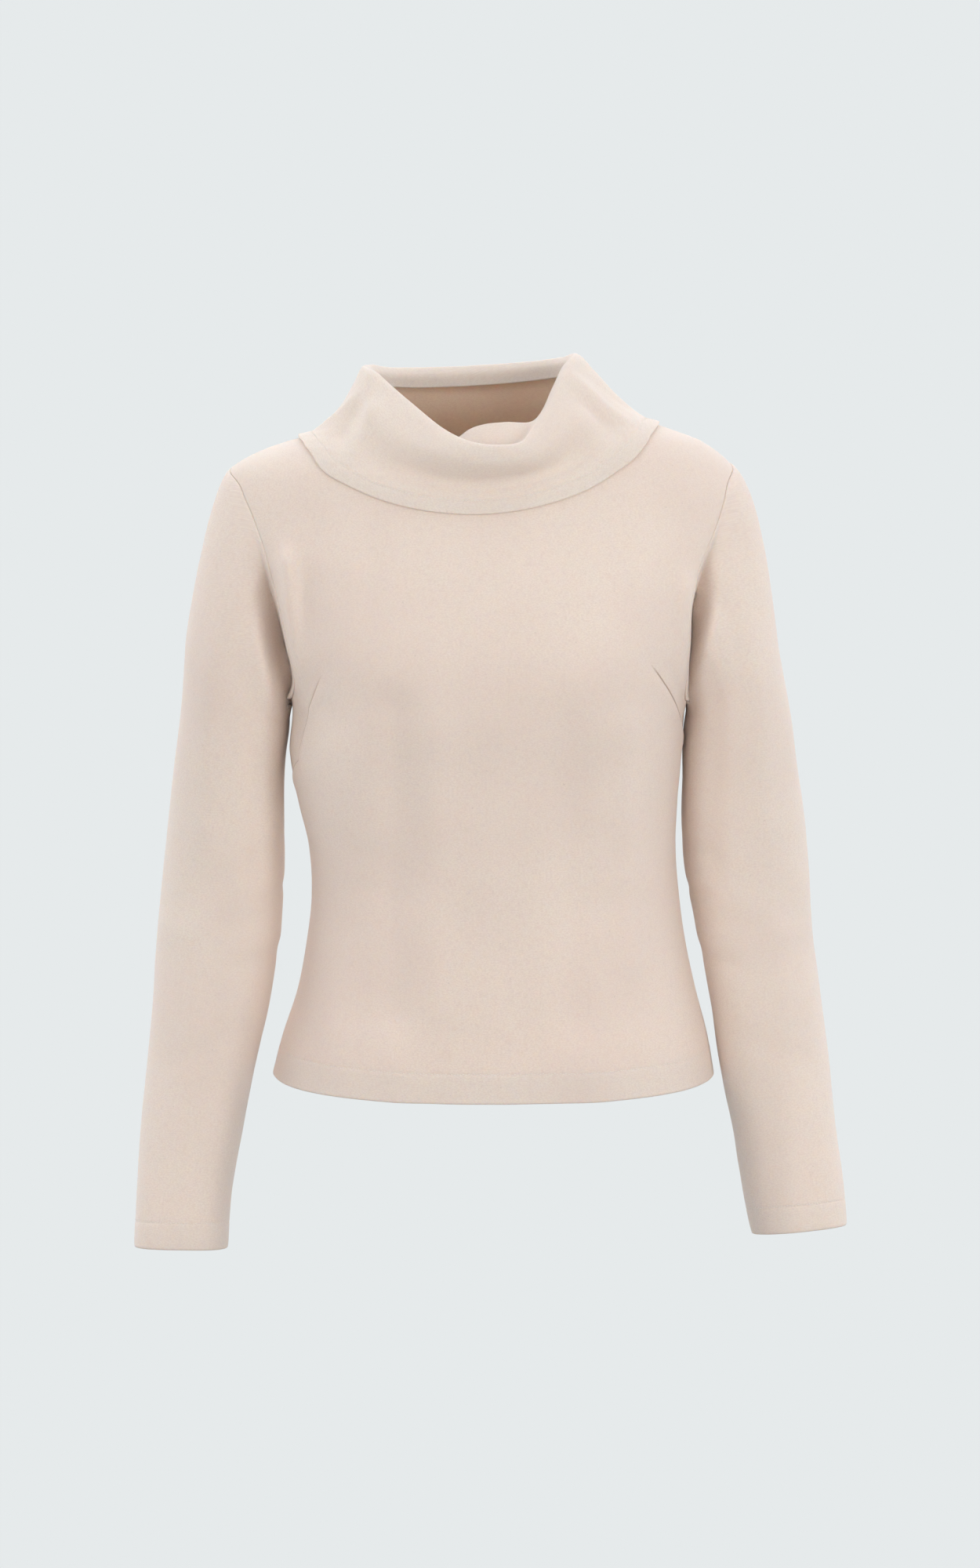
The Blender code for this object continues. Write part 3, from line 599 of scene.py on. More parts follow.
def unevenness(across, up, seed, size):
    """Gentle unevenness of hanging cloth: a sum of long, shallow waves in seeded directions, each
    as high as it is long."""
    rng = np.random.default_rng(seed)
    total = np.zeros(np.broadcast(across, up).shape)
    for length in WAVE_LENGTHS:
        turn = rng.uniform(0.0, math.pi)
        start = rng.uniform(0.0, 2 * math.pi)
        wave = (across * math.cos(turn) + up * math.sin(turn)) * 2 * math.pi / length
        total += np.sin(wave + start) * length / WAVE_LENGTHS[0]
    return size * total / 2.0


def body_point(angle, height):
    """Middle of the body wall at an angle round the body (radians from centre front towards +X)
    and a height: a squared ellipse, pushed out over the bust and by the folds."""
    left, right, front, back, square = (read(BODY_SECTIONS, name, height)
                                        for name in BODY_SECTIONS[0][1:])
    x = (left + right) / 2 + ((right - left) / 2 - WALL / 2) * np.sin(angle)
    depth = np.where(np.cos(angle) >= 0, front, back) - WALL / 2
    y = -depth * np.cos(angle) * (1 + square * np.sin(angle) ** 2)
    spread_z = np.where(height > BUST_HEIGHT, BUST_SPREAD_ABOVE, BUST_SPREAD_BELOW)
    bust = sum(np.exp(-((x - sign * BUST_ACROSS) / BUST_SPREAD_X) ** 2
                      - ((height - BUST_HEIGHT) / spread_z) ** 2) for sign in SIDE_SIGN.values())
    front_push = (BUST_RISE * bust + fold_push(FRONT_FOLDS, x, height)
                  + fold_push(BUST_DARTS, x, height))
    back_push = fold_push(BACK_FOLDS, x, height)
    facing = np.cos(angle)
    y = y - np.where(facing >= 0, front_push, back_push) * facing
    return np.stack((x, y, np.broadcast_to(height, x.shape)), axis=-1)


def body_normal(angle, height):
    """Outward direction of the body wall, from its slopes round and up."""
    step_angle = 0.01
    step_height = 0.5
    around = body_point(angle + step_angle, height) - body_point(angle - step_angle, height)
    up = body_point(angle, height + step_height) - body_point(angle, height - step_height)
    return unit(np.cross(around, up))


def edge_angle(height):
    """The angle at which a panel's edge stops short of the side or shoulder seam."""
    return math.pi / 2 - SEAM_GAP / 2 / read(BODY_SECTIONS, "front", height)


def collar_edge_height(angle):
    """Height of the collar's visible lower edge: high on the shoulders, dropping towards centre
    front and centre back."""
    degrees = (np.degrees(angle) + 180.0) % 360.0 - 180.0
    return read(COLLAR_EDGE, "height", degrees, "angle")


def neckline_height(angle):
    """Height of the body's cut neckline: the collar's lap further up along the cloth."""
    edge = collar_edge_height(angle)
    rise = np.linalg.norm(body_point(angle, edge + 1) - body_point(angle, edge), axis=-1)
    return edge + COLLAR_LAP / rise


def armhole(side, face, share):
    """Angle and height along an armhole seam, from underarm (0) to shoulder point (1).
    side is left or right, face is front or back. Angles count from the panel's own centre."""
    heights = column(ARMHOLES, "height")
    across = column(ARMHOLES, side + "_" + face)
    left = read(BODY_SECTIONS, "left", heights)
    right = read(BODY_SECTIONS, "right", heights)
    angles = np.arcsin(np.abs(across - (left + right) / 2) / ((right - left) / 2))
    top = SHOULDER_HEIGHT[side]
    heights = np.concatenate(((UNDERARM_HEIGHT,), heights, (top,)))
    angles = np.concatenate(((edge_angle(UNDERARM_HEIGHT),), angles, (edge_angle(top),)))
    steps = np.hypot(np.diff(heights), ARMHOLE_RADIUS * np.diff(angles))
    knots = np.concatenate(((0.0,), np.cumsum(steps)))
    knots /= knots[-1]
    return smooth(knots, angles, share), smooth(knots, heights, share)


def half_panel(side, face, across, up, shoulder_share):
    """Angle and height over one half of a panel, centre line (across 0) to armhole (across 1),
    underarm (up 0) to neckline and shoulder (up 1): the patch blended from its four edges."""
    across, up = np.meshgrid(across, up)
    sign = SIDE_SIGN[side]
    ridge_end = 1.0 - shoulder_share
    top = SHOULDER_HEIGHT[side]

    def top_edge(s):
        turn = math.pi / 2 * np.minimum(s / ridge_end, 1.0)
        body_angle = turn if face == "front" else math.pi - turn
        neck = neckline_height(sign * body_angle)
        share = np.clip((s - ridge_end) / shoulder_share, 0.0, 1.0)
        height = neck + (top - neck) * share
        return np.minimum(turn, edge_angle(height)), height

    def lower_edge(s):
        return edge_angle(UNDERARM_HEIGHT) * s, np.full(s.shape, UNDERARM_HEIGHT)

    centre_top = top_edge(np.zeros(1))[1][0]
    result = []
    for part in (0, 1):
        bottom = lower_edge(across)[part]
        upper = top_edge(across)[part]
        outer = armhole(side, face, up)[part]
        inner = (np.zeros(up.shape), UNDERARM_HEIGHT + (centre_top - UNDERARM_HEIGHT) * up)[part]
        corners = ((1 - across) * (1 - up) * lower_edge(np.zeros(1))[part]
                   + across * (1 - up) * lower_edge(np.ones(1))[part]
                   + (1 - across) * up * top_edge(np.zeros(1))[part]
                   + across * up * top_edge(np.ones(1))[part])
        result.append((1 - up) * bottom + up * upper + (1 - across) * inner + across * outer
                      - corners)
    return sign * result[0], result[1]


def panel_places(face, across, chest_up, body_heights, shoulder_share):
    """Angles and heights over a whole front or back, hem to shoulders, -X edge to +X edge."""
    angle_l, height_l = half_panel("left", face, across, chest_up, shoulder_share)
    angle_r, height_r = half_panel("right", face, across, chest_up, shoulder_share)
    angle = np.concatenate((angle_l[:, ::-1], angle_r[:, 1:]), axis=1)
    height = np.concatenate((height_l[:, ::-1], height_r[:, 1:]), axis=1)
    shares = np.concatenate((-across[::-1], across[1:]))[None, :]
    body_heights = body_heights[:, None]
    angle = np.concatenate((edge_angle(body_heights) * shares, angle))
    height = np.concatenate((body_heights + 0 * shares, height))
    if face == "back":
        angle = math.pi - angle
    return angle, height


def count_of(full, quick):
    """A count of grid lines: the full one. quick, the smaller count, is not used."""
    return full


def steps(stretches):
    """Places from stretches of (start, end, count, quick count): each evenly spaced, joined end
    to end."""
    parts = [np.linspace(start, end, count_of(full, quick) + 1)[:-1]
             for start, end, full, quick in stretches]
    return np.concatenate(parts + [np.array((stretches[-1][1],))])


def along_rows(points):
    """Distance of every grid point from the first one in its row, along the row."""
    lengths = np.linalg.norm(np.diff(points, axis=1), axis=-1)
    return np.concatenate((np.zeros((points.shape[0], 1)), np.cumsum(lengths, axis=1)), axis=1)


def along_columns(points):
    """Distance of every grid point from the first one in its column, along the column."""
    return along_rows(points.swapaxes(0, 1)).T


def seam_drop(distance):
    """How far cloth rounds in at a seam: a quarter circle over the last stretch to the edge."""
    near = SEAM_ROUND - np.clip(distance, 0.0, SEAM_ROUND)
    return SEAM_ROUND - np.sqrt(np.maximum(SEAM_ROUND ** 2 - near ** 2, 0.0))


def bell(distance, width):
    """A bell of height 1."""
    return np.exp(-(distance / width) ** 2)


def stitch_dip(distance, along, seed):
    """Trough pulled in by a row of stitches, slightly deeper at each stitch and uneven."""
    (strong, near), (slight, far) = STITCH_PULLS
    pull = 1.0 + strong * np.sin(along * near + seed) + slight * np.sin(along * far)
    return -STITCH_DIP * pull * bell(distance, STITCH_DIP_WIDTH)


def swell(distance, steepness):
    """A soft step: 1 well before a row of stitches, 0 well past it."""
    return 1.0 - 1.0 / (1.0 + np.exp(-np.clip(distance * steepness, -30.0, 30.0)))


def grid_normals(points, closed, flip):
    """Outward directions of a grid: the cross product of its slopes along rows and columns."""
    if closed:
        around = np.roll(points, -1, axis=1) - np.roll(points, 1, axis=1)
    else:
        around = np.gradient(points, axis=1)
    normals = unit(np.cross(around, np.gradient(points, axis=0)))
    return -normals if flip else normals


def turned_edge(points, normals, thickness, depth):
    """Adds a turned-up hem below the first row: a half circle, then the same cloth again on the
    inside up to a depth, as more rows. Gives points and the directions that each row faces."""
    down = unit(points[0] - points[1])
    half = thickness / 2
    turns = np.linspace(0.0, math.pi, HEM_TURN_STEPS + 1)[1:, None, None]
    facing = np.cos(turns) * normals[0] + np.sin(turns) * down
    around = points[0] - half * normals[0] + half * facing
    from_edge = along_columns(points).mean(axis=1)
    inside = np.flatnonzero((from_edge > HEM_TURN_FROM) & (from_edge <= depth))
    turned = points[inside] - thickness * normals[inside]
    rows = np.concatenate((turned[::-1], around[::-1], points))
    directions = np.concatenate((-normals[inside][::-1], facing[::-1], normals))
    return rows, directions


def dart_offset(dart, angle, height):
    """Signed distance from a dart's sewn line over the cloth, in millimetres, above 0 towards
    the centre, and how much of the dart is left there: 1 at the side seam, 0 past the tip."""
    z = column(dart, "z")
    left = read(BODY_SECTIONS, "left", z)
    right = read(BODY_SECTIONS, "right", z)
    turn = (column(dart, "x") - (left + right) / 2) / ((right - left) / 2 - WALL / 2)
    across = np.arcsin(np.clip(turn, -0.999, 0.999)) * DART_RADIUS
    line = np.stack((across, z), axis=-1)
    here = np.stack((angle * DART_RADIUS, height), axis=-1)
    best = np.full(angle.shape, np.inf)
    signed = np.zeros(angle.shape)
    left_over = np.zeros(angle.shape)
    walked = 0.0
    for start, end in zip(line[:-1], line[1:]):
        length = np.hypot(*(end - start))
        way = (end - start) / length
        along = np.clip((here - start) @ way, 0.0, length)
        gap = here - start - along[..., None] * way
        distance = np.hypot(gap[..., 0], gap[..., 1])
        side = gap[..., 0] * -np.sign(across[0])
        nearer = distance < best
        best = np.where(nearer, distance, best)
        signed = np.where(nearer, distance * np.sign(side), signed)
        left_over = np.where(nearer, np.clip((walked + along) / DART_FADE, 0.0, 1.0), left_over)
        walked += length
    return signed, left_over


def dart_relief(offset, left_over):
    """A narrow trough on the sewn line, a soft lip on its centre side and a hollow beyond it."""
    return left_over * sum(rise * bell(offset - away, width)
                           for away, rise, width in DART_RELIEF[1:])


def panel_cloth(face):
    """Cloth of a front or back panel: outer points with hem and seam edges turned in, and for
    each point its signed distance from a dart and how strongly the painted shade in that dart's
    crease shows there, fading out past the tip."""
    across = steps(ACROSS_STRETCHES[face])
    chest = steps(CHEST_STRETCHES[face])
    from_edge = np.concatenate((HEM_ROWS[:-1], steps(BODY_STRETCHES[face])[:-1]))
    body_heights = HEM_HEIGHT + from_edge
    angle, height = panel_places(face, across, chest, body_heights, SHOULDER_SHARE[face])
    middle = body_point(angle, height)
    normals = body_normal(angle, height)
    over = along_rows(middle)
    from_side = np.minimum(over, over[:, -1:] - over)
    up = along_columns(middle)
    from_top = up[-1:] - up
    relief = unevenness(over - over[:, -1:] / 2, height, *UNEVEN_PANELS[face])
    relief *= np.clip(np.minimum(from_side, from_top) / CALM_AT_SEAM, 0.0, 1.0)
    past_stitches = height - HEM_HEIGHT - HEM_DEPTH
    relief += stitch_dip(past_stitches, over, 0.0)
    relief += HEM_SWELL * swell(past_stitches, HEM_SWELL_STEEP)
    offset = np.full(angle.shape, DART_REACH)
    left_over = np.zeros(angle.shape)
    # How strongly the painted shade along each dart's crease shows at each point.
    crease_shade_share = np.zeros(angle.shape)
    if face == "front":
        for side, sign in SIDE_SIGN.items():
            near, left = dart_offset(DART_LINES[side], angle, height)
            mine = np.sign(angle) == sign
            offset = np.where(mine, np.clip(near, -DART_REACH, DART_REACH), offset)
            left_over = np.where(mine, left, left_over)
            crease_shade_share = np.where(mine, left * DART_SHADE_STRENGTH[side], crease_shade_share)
        relief += dart_relief(offset, left_over)
    drop = seam_drop(np.minimum(from_side, from_top))
    outer = middle + normals * (WALL / 2 + relief - drop)[..., None]
    stitches = int(np.argmin(np.abs(body_heights - HEM_HEIGHT - HEM_DEPTH)))
    thread = (outer[stitches], normals[stitches])
    rows, directions = turned_edge(outer, normals, HEM_THICKNESS, HEM_DEPTH + PAST_STITCHES)
    extra = len(rows) - len(outer)
    pad = ((extra, 0), (0, 0))
    marks = (np.pad(offset, pad, constant_values=DART_REACH), np.pad(crease_shade_share, pad))
    turn = np.full((len(rows), 1, 1), SEAM_TURN)
    turn[:extra + int(np.sum(from_edge <= HEM_DEPTH))] = HEM_SEAM_TURN - SEAM_ROUND
    first = rows[:, :1] - directions[:, :1] * turn
    last = rows[:, -1:] - directions[:, -1:] * turn
    rows = np.concatenate((first, rows, last), axis=1)
    facing = directions[-1:]
    facing = np.concatenate((facing[:, :1], facing, facing[:, -1:]), axis=1)
    rows = np.concatenate((rows, rows[-1:] - facing * SEAM_TURN))
    marks = [np.pad(mark, ((0, 1), (1, 1)), mode="edge") for mark in marks]
    return rows, marks, thread


def sleeve_ring(side, turn, height):
    """Middle of the sleeve wall on a ring of the arm: an ellipse tilted outwards and forwards.
    turn is the angle round the arm, 0 outside and a quarter turn at the front."""
    centre_x, centre_y, half_width, half_depth, outer_rise, front_rise = (
        read(SLEEVE_SECTIONS[side], name, height) for name in SLEEVE_SECTIONS[side][0][1:])
    push = fold_push(SLEEVE_FOLDS, np.degrees(turn) % 360.0, height)
    out = (half_width - WALL / 2 + push) * np.cos(turn)
    square = np.where(np.cos(turn) < 0, SLEEVE_SQUARE_IN[side], SLEEVE_SQUARE_OUT)
    forward = ((half_depth - WALL / 2 + push) * np.sin(turn)
               * (1.0 + square * np.cos(turn) ** 2))
    z = height + out * np.tan(np.radians(outer_rise)) + forward * np.tan(np.radians(front_rise))
    return np.stack((centre_x + SIDE_SIGN[side] * out, centre_y - forward, z), axis=-1)


def inner_turn(side, places, down, degrees):
    """How far back a sleeve's front lies where it turns inwards beside the body: a soft bend
    past a line, held short of the arm's middle. down is the distance from the armhole seam,
    where the cloth keeps its place, and degrees the angle round the arm."""
    table = INNER_TURN[side]
    across, soft, steep = (read(table, name, places[..., 2]) for name in table[0][1:])
    past = across - np.abs(places[..., 0])
    push = steep * (past + np.sqrt(past ** 2 + soft ** 2)) / 2
    room = np.maximum(INNER_TURN_MIDDLE - places[..., 1], INNER_TURN_LEAST)
    start = 1.0 - bell(down, INNER_TURN_START[side])
    before = np.clip((INNER_TURN_END - degrees) / INNER_TURN_FADE, 0.0, 1.0)
    share = start * before ** 2 * (3.0 - 2.0 * before)
    return room * (1.0 - np.exp(-push / room)) * share


def sleeve_cap(side, share, turn):
    """Middle of the sleeve's cap and the direction its seam faces: each column is a cubic that
    leaves the armhole seam along the shoulder's slope and turns down into the arm's first ring."""
    in_front = share <= 0.5
    front_angle, front_height = armhole(side, "front", np.clip(1 - 2 * share, 0, 1))
    back_angle, back_height = armhole(side, "back", np.clip(2 * share - 1, 0, 1))
    angle = SIDE_SIGN[side] * np.where(in_front, front_angle, math.pi - back_angle)
    height = np.where(in_front, front_height, back_height)
    top_weight = ((1 + np.cos(turn)) / 2)[:, None]
    start = unit(np.stack((SIDE_SIGN[side] * np.ones(len(turn)), CAP_BACKWARD * np.sin(turn),
                           CAP_RISE_MIDDLE - CAP_FALL_SHOULDER * np.cos(turn)), axis=-1))
    seam = body_point(angle, height) + start * SEAM_GAP
    start = start * (CAP_PULL_UNDERARM
                     + (CAP_PULL_SHOULDER[side] - CAP_PULL_UNDERARM) * top_weight)
    first_height = SLEEVE_SECTIONS[side][1][0]
    first = sleeve_ring(side, turn, first_height)
    below = sleeve_ring(side, turn, first_height - 1.0)
    end = unit(below - first) * (ARM_PULL_UNDERARM
                                 + (ARM_PULL_SHOULDER[side] - ARM_PULL_UNDERARM) * top_weight)
    v = np.concatenate((CAP_START, np.linspace(CAP_REST_START, 1.0, count_of(*CAP_STEPS))))
    return cubic(seam, first, start, end, 1.0, v[:, None, None]), body_normal(angle, height)


def sleeve_cloth(side):
    """Cloth of a sleeve, cuff to armhole, closed round the arm: the cap, then level rings down
    the arm, turned inwards beside the body. The cuff is turned up."""
    share = np.arange(count_of(*SLEEVE_COLUMNS)) / count_of(*SLEEVE_COLUMNS)
    turn = 2 * math.pi * share
    cap, seam_facing = sleeve_cap(side, share, turn)
    table = SLEEVE_SECTIONS[side]
    cuff = table[-1][0]
    rows = np.array(CUFF_ROWS)
    arm_heights = np.linspace(table[1][0], cuff + ABOVE_CUFF, count_of(*ARM_STEPS))[1:]
    arm_heights = np.concatenate((arm_heights, (cuff + rows)[::-1]))[:, None]
    middle = np.concatenate((cap, sleeve_ring(side, turn[None, :], arm_heights)))
    middle[..., 1] += inner_turn(side, middle, along_columns(middle), np.degrees(turn))
    down = along_columns(middle)
    near_seam = bell(down, SEAM_FACING_SPREAD)[..., None]
    facing = unit(near_seam * seam_facing
                  + (1 - near_seam) * grid_normals(middle, True, side == "left"))
    relief = unevenness(along_rows(middle), middle[..., 2], *UNEVEN_SLEEVES[side])
    from_join = np.minimum(share, 1 - share) * 2 * math.pi * ARM_RADIUS
    relief *= (np.clip(from_join / CALM_AT_JOIN, 0.0, 1.0)[None, :]
               * np.clip(down / CALM_AT_SEAM, 0.0, 1.0))
    rise, full_height, spread, degrees = UNDERARM_FULL[side]
    inside = bell(np.degrees(turn) - 180.0, degrees)[None, :]
    relief += rise * inside * bell(middle[..., 2] - full_height, spread)
    from_cuff = down[-1:] - down
    past_stitches = from_cuff - CUFF_DEPTH
    relief += stitch_dip(past_stitches, turn * CUFF_RADIUS, 1.0)
    relief += (CUFF_SWELL * swell(past_stitches, CUFF_SWELL_STEEP)
               * np.clip(from_cuff / CUFF_SWELL_OVER, 0.0, 1.0))
    outer = (middle + facing * (WALL / 2 + relief - seam_drop(down))[..., None])[::-1]
    facing = facing[::-1]
    stitches = int(np.argmin(np.abs(rows - CUFF_DEPTH)))
    thread = (outer[stitches], facing[stitches])
    rows = turned_edge(outer, facing, HEM_THICKNESS, CUFF_DEPTH + PAST_STITCHES)[0]
    return np.concatenate((rows, rows[-1:] - seam_facing[None] * SEAM_TURN)), thread


def collar_cloth():
    """Cloth of the collar, closed round the neck: the turned edge lapping the body, the wall up
    to the rolled rim, the dip inside it and the free tip, turned too."""
    columns = count_of(*COLLAR_COLUMNS)
    degrees = np.arange(columns) / columns * 360.0 - 180.0
    angle = np.radians(degrees)
    sections = {name: read(COLLAR_SECTIONS, name, degrees, "angle")
                for name in COLLAR_SECTIONS[0][1:]}

    def over_body(height):
        return body_point(angle, height) + (WALL + LAP_GAP) * body_normal(angle, height)

    edge = over_body(collar_edge_height(angle))
    neck = over_body(neckline_height(angle))
    rim = np.stack((sections["rim_x"], sections["rim_y"], sections["rim_z"]), axis=-1)
    inward = unit((np.array(NECK_MIDDLE + (0.0,)) - rim) * (1, 1, 0))
    up = np.array((0.0, 0.0, 1.0))

    def wall_point(share, name):
        return neck + (rim - neck) * share - inward * sections[name][:, None]

    def inside_rim(name):
        return (rim + inward * sections[name + "_in"][:, None]
                - up * sections[name + "_down"][:, None])

    controls = np.stack((edge, neck, wall_point(LOW_SHARE, "low"), wall_point(MID_SHARE, "mid"),
                         rim, inside_rim("dip"), inside_rim("tip")))
    knots = np.array(COLLAR_KNOTS)
    places = steps(COLLAR_STRETCHES)
    slope = np.gradient(controls, knots, axis=0)
    i = np.clip(np.searchsorted(knots, places) - 1, 0, len(knots) - 2)
    step = (knots[i + 1] - knots[i])[:, None, None]
    u = (places - knots[i])[:, None, None] / step
    middle = cubic(controls[i], controls[i + 1], slope[i], slope[i + 1], step, u)
    normals = grid_normals(middle, True, False)
    place = np.broadcast_to(places[:, None], middle.shape[:2])
    creases = fold_push(CREASE_LINES, degrees[None, :], place * DEGREES_PER_PLACE)
    roll = sum(rise * bell(place - at, spread) for at, rise, spread in COLLAR_ROLL[1:])
    creases = creases + bell(degrees, COLLAR_ROLL_ANGLE)[None, :] * roll
    free = np.clip((place - CREASES_START) / CREASES_START_OVER, 0.0, 1.0)
    relief = creases * free * np.clip((CREASES_END - place) / CREASES_END_OVER, 0.0, 1.0)
    over = along_rows(middle)
    stitch = int(np.argmin(np.abs(places - COLLAR_KNOTS[1])))
    lengths = along_columns(middle)
    relief += stitch_dip(lengths - lengths[stitch], over, 2.0)
    relief += LAP_SWELL * (1.0 - free) * bell(place - LAP_SWELL_PLACE, LAP_SWELL_SPREAD)
    relief += (LAP_RIPPLE * np.sin(over * 2 * math.pi / LAP_RIPPLE_LENGTH + LAP_RIPPLE_START)
               * bell(place - LAP_RIPPLE_PLACE, LAP_RIPPLE_SPREAD))
    outer = middle + normals * (WALL / 2 + relief)[..., None]
    thread = (outer[stitch], normals[stitch])
    rows, directions = turned_edge(outer, normals, COLLAR_TURN, COLLAR_LAP_TURN)
    rows = turned_edge(rows[::-1], directions[::-1], COLLAR_TURN, COLLAR_TIP_TURN)[0]
    return rows[::-1], thread


def new_node(tree, kind, **sockets):
    """A shader node with some of its inputs set by name."""
    node = tree.nodes.new(kind)
    for name, value in sockets.items():
        node.inputs[name.replace("_", " ")].default_value = value
    return node


def math_node(tree, operation, first, second=None):
    """A maths node between sockets or plain numbers."""
    node = tree.nodes.new("ShaderNodeMath")
    node.operation = operation
    for place, value in enumerate((first, second)):
        if value is None:
            continue
        if isinstance(value, (int, float)):
            node.inputs[place].default_value = value
        else:
            tree.links.new(value, node.inputs[place])
    return node.outputs[0]


def mix_colour(tree, share, first, second):
    """A colour between two, by a share from a socket."""
    node = tree.nodes.new("ShaderNodeMix")
    node.data_type = "RGBA"
    tree.links.new(share, node.inputs["Factor"])
    for name, value in (("A", first), ("B", second)):
        socket = next(s for s in node.inputs if s.name == name and s.type == "RGBA")
        if isinstance(value, tuple):
            socket.default_value = value
        else:
            tree.links.new(value, socket)
    return next(s for s in node.outputs if s.type == "RGBA")


def noise(tree, vector, scale, detail, roughness=0.5):
    """Noise read at a vector, around 0.5."""
    node = new_node(tree, "ShaderNodeTexNoise", Scale=scale, Detail=detail, Roughness=roughness)
    tree.links.new(vector, node.inputs["Vector"])
    return node.outputs["Fac"]


def stretch(tree, value, low, high, to_low=0.0, to_high=1.0):
    """Maps a range of values to another, held at its ends."""
    node = tree.nodes.new("ShaderNodeMapRange")
    for place, number in enumerate((low, high, to_low, to_high), start=1):
        node.inputs[place].default_value = number
    tree.links.new(value, node.inputs[0])
    return node.outputs[0]


def cloth_material(name, cloth, darts):
    """Matt wool jersey: a cream ground with paler and pinker fibres mixed in at the size of its
    yarn, a few darker specks, slow changes of tone, and a short nap. Along a dart's sewn line the
    colour is darkened as painted shade, standing for the shadow in its crease."""
    material = bpy.data.materials.new(name)
    material.use_nodes = True
    tree = material.node_tree
    shader = tree.nodes["Principled BSDF"]
    places = tree.nodes.new("ShaderNodeTexCoord")
    over_all = places.outputs["Object"]
    grain = new_node(tree, "ShaderNodeMapping")
    grain.inputs["Scale"].default_value = (1.0, 1.7, 1.0)
    tree.links.new(places.outputs["UV"], grain.inputs["Vector"])
    fibres = noise(tree, grain.outputs[0], scale=560.0, detail=4.0, roughness=0.72)
    mottle = noise(tree, over_all, scale=240.0, detail=3.0, roughness=0.6)
    specks = noise(tree, over_all, scale=420.0, detail=1.0, roughness=0.4)
    slow = noise(tree, over_all, scale=8.0, detail=2.0)
    colour = tuple(cloth.colour) + (1.0,)
    tones = (
        (fibres, 0.53, 0.28, cloth.heather, cloth.heather_colour),
        (fibres, 0.50, 0.72, cloth.heather, cloth.pale_colour),
        (mottle, 0.50, 0.25, 0.5 * cloth.heather, cloth.heather_colour),
        (slow, 0.40, 0.62, 0.30, cloth.heather_colour),
        (specks, 0.77, 0.83, 0.35, cloth.speck_colour),
    )
    for pattern, none_at, full_at, share, tone in tones:
        share = stretch(tree, pattern, none_at, full_at, 0.0, share)
        colour = mix_colour(tree, share, colour, tuple(tone) + (1.0,))
    # Painted shade: the colour darkens along each dart's sewn line, standing for the shadow in its
    # crease.
    if darts:
        offset = new_node(tree, "ShaderNodeAttribute")
        offset.attribute_name = "dart_offset"
        left = new_node(tree, "ShaderNodeAttribute")
        left.attribute_name = "dart_shade_amount"
        near = math_node(tree, "ABSOLUTE", offset.outputs["Fac"])
        line = math_node(tree, "MULTIPLY", stretch(tree, near, 0.85, 0.25, 0.0, 0.8),
                         left.outputs["Fac"])
        colour = mix_colour(tree, line, colour, tuple(cloth.dart_shade_colour) + (1.0,))
    tree.links.new(colour, shader.inputs["Base Color"])
    for name, value in (
            ("Subsurface Weight", cloth.glow),
            ("Subsurface Radius", (1.0, 0.66, 0.4)),
            ("Subsurface Scale", 0.0022),
            ("Roughness", 0.92),
            ("Specular IOR Level", 0.22),
            ("Sheen Weight", cloth.nap),
            ("Sheen Roughness", 0.42),
            ("Sheen Tint", (1.0, 0.95, 0.9, 1.0))):
        shader.inputs[name].default_value = value
    nap = noise(tree, over_all, scale=1300.0, detail=3.0, roughness=0.7)
    height = math_node(tree, "ADD", math_node(tree, "MULTIPLY", fibres, 0.8),
                       math_node(tree, "MULTIPLY", nap, 0.6))
    bump = new_node(tree, "ShaderNodeBump", Strength=0.3, Distance=0.0004)
    tree.links.new(height, bump.inputs["Height"])
    tree.links.new(bump.outputs["Normal"], shader.inputs["Normal"])
    return material


def thread_material(name, colour):
    """Soft twisted sewing thread, a little paler than the cloth."""
    material = bpy.data.materials.new(name)
    material.use_nodes = True
    tree = material.node_tree
    shader = tree.nodes["Principled BSDF"]
    places = tree.nodes.new("ShaderNodeTexCoord")
    twist = noise(tree, places.outputs["Object"], scale=2600.0, detail=1.0)
    deep = tuple(0.86 * value for value in colour) + (1.0,)
    shade = mix_colour(tree, stretch(tree, twist, 0.4, 0.6), tuple(colour) + (1.0,), deep)
    tree.links.new(shade, shader.inputs["Base Color"])
    shader.inputs["Roughness"].default_value = 0.6
    shader.inputs["Sheen Weight"].default_value = 0.2
    bump = new_node(tree, "ShaderNodeBump", Strength=0.3, Distance=0.0002)
    tree.links.new(twist, bump.inputs["Height"])
    tree.links.new(bump.outputs["Normal"], shader.inputs["Normal"])
    return material


def grid_mesh(name, points, closed, flip, marks=()):
    """A mesh over a grid of points, with a UV map in metres along rows and columns, and named
    values for each point."""
    rows, columns = points.shape[:2]
    index = np.arange(rows * columns).reshape(rows, columns)
    right = np.roll(index, -1, axis=1) if closed else index[:, 1:]
    left = index if closed else index[:, :-1]
    corners = (left[:-1], right[:-1], right[1:], left[1:])
    faces = np.stack(corners, axis=-1).reshape(-1, 4)
    wrapped = np.concatenate((points, points[:, :1]), axis=1) if closed else points
    u = along_rows(wrapped)
    u -= u[:, -1:] / 2
    v = along_columns(wrapped)
    flat = np.stack((u, v), axis=-1) * MM
    loops = np.stack((flat[:-1, :-1], flat[:-1, 1:], flat[1:, 1:], flat[1:, :-1]), axis=2)
    loops = loops.reshape(-1, 4, 2)
    if flip:
        faces = faces[:, ::-1]
        loops = loops[:, ::-1]
    mesh = bpy.data.meshes.new(name)
    mesh.from_pydata((points.reshape(-1, 3) * MM).tolist(), [], faces.tolist())
    layer = mesh.uv_layers.new(name="cloth_way")
    layer.data.foreach_set("uv", loops.reshape(-1).astype(np.float32))
    for label, values in marks:
        attribute = mesh.attributes.new(label, "FLOAT", "POINT")
        attribute.data.foreach_set("value", values.reshape(-1).astype(np.float32))
    mesh.shade_smooth()
    return mesh


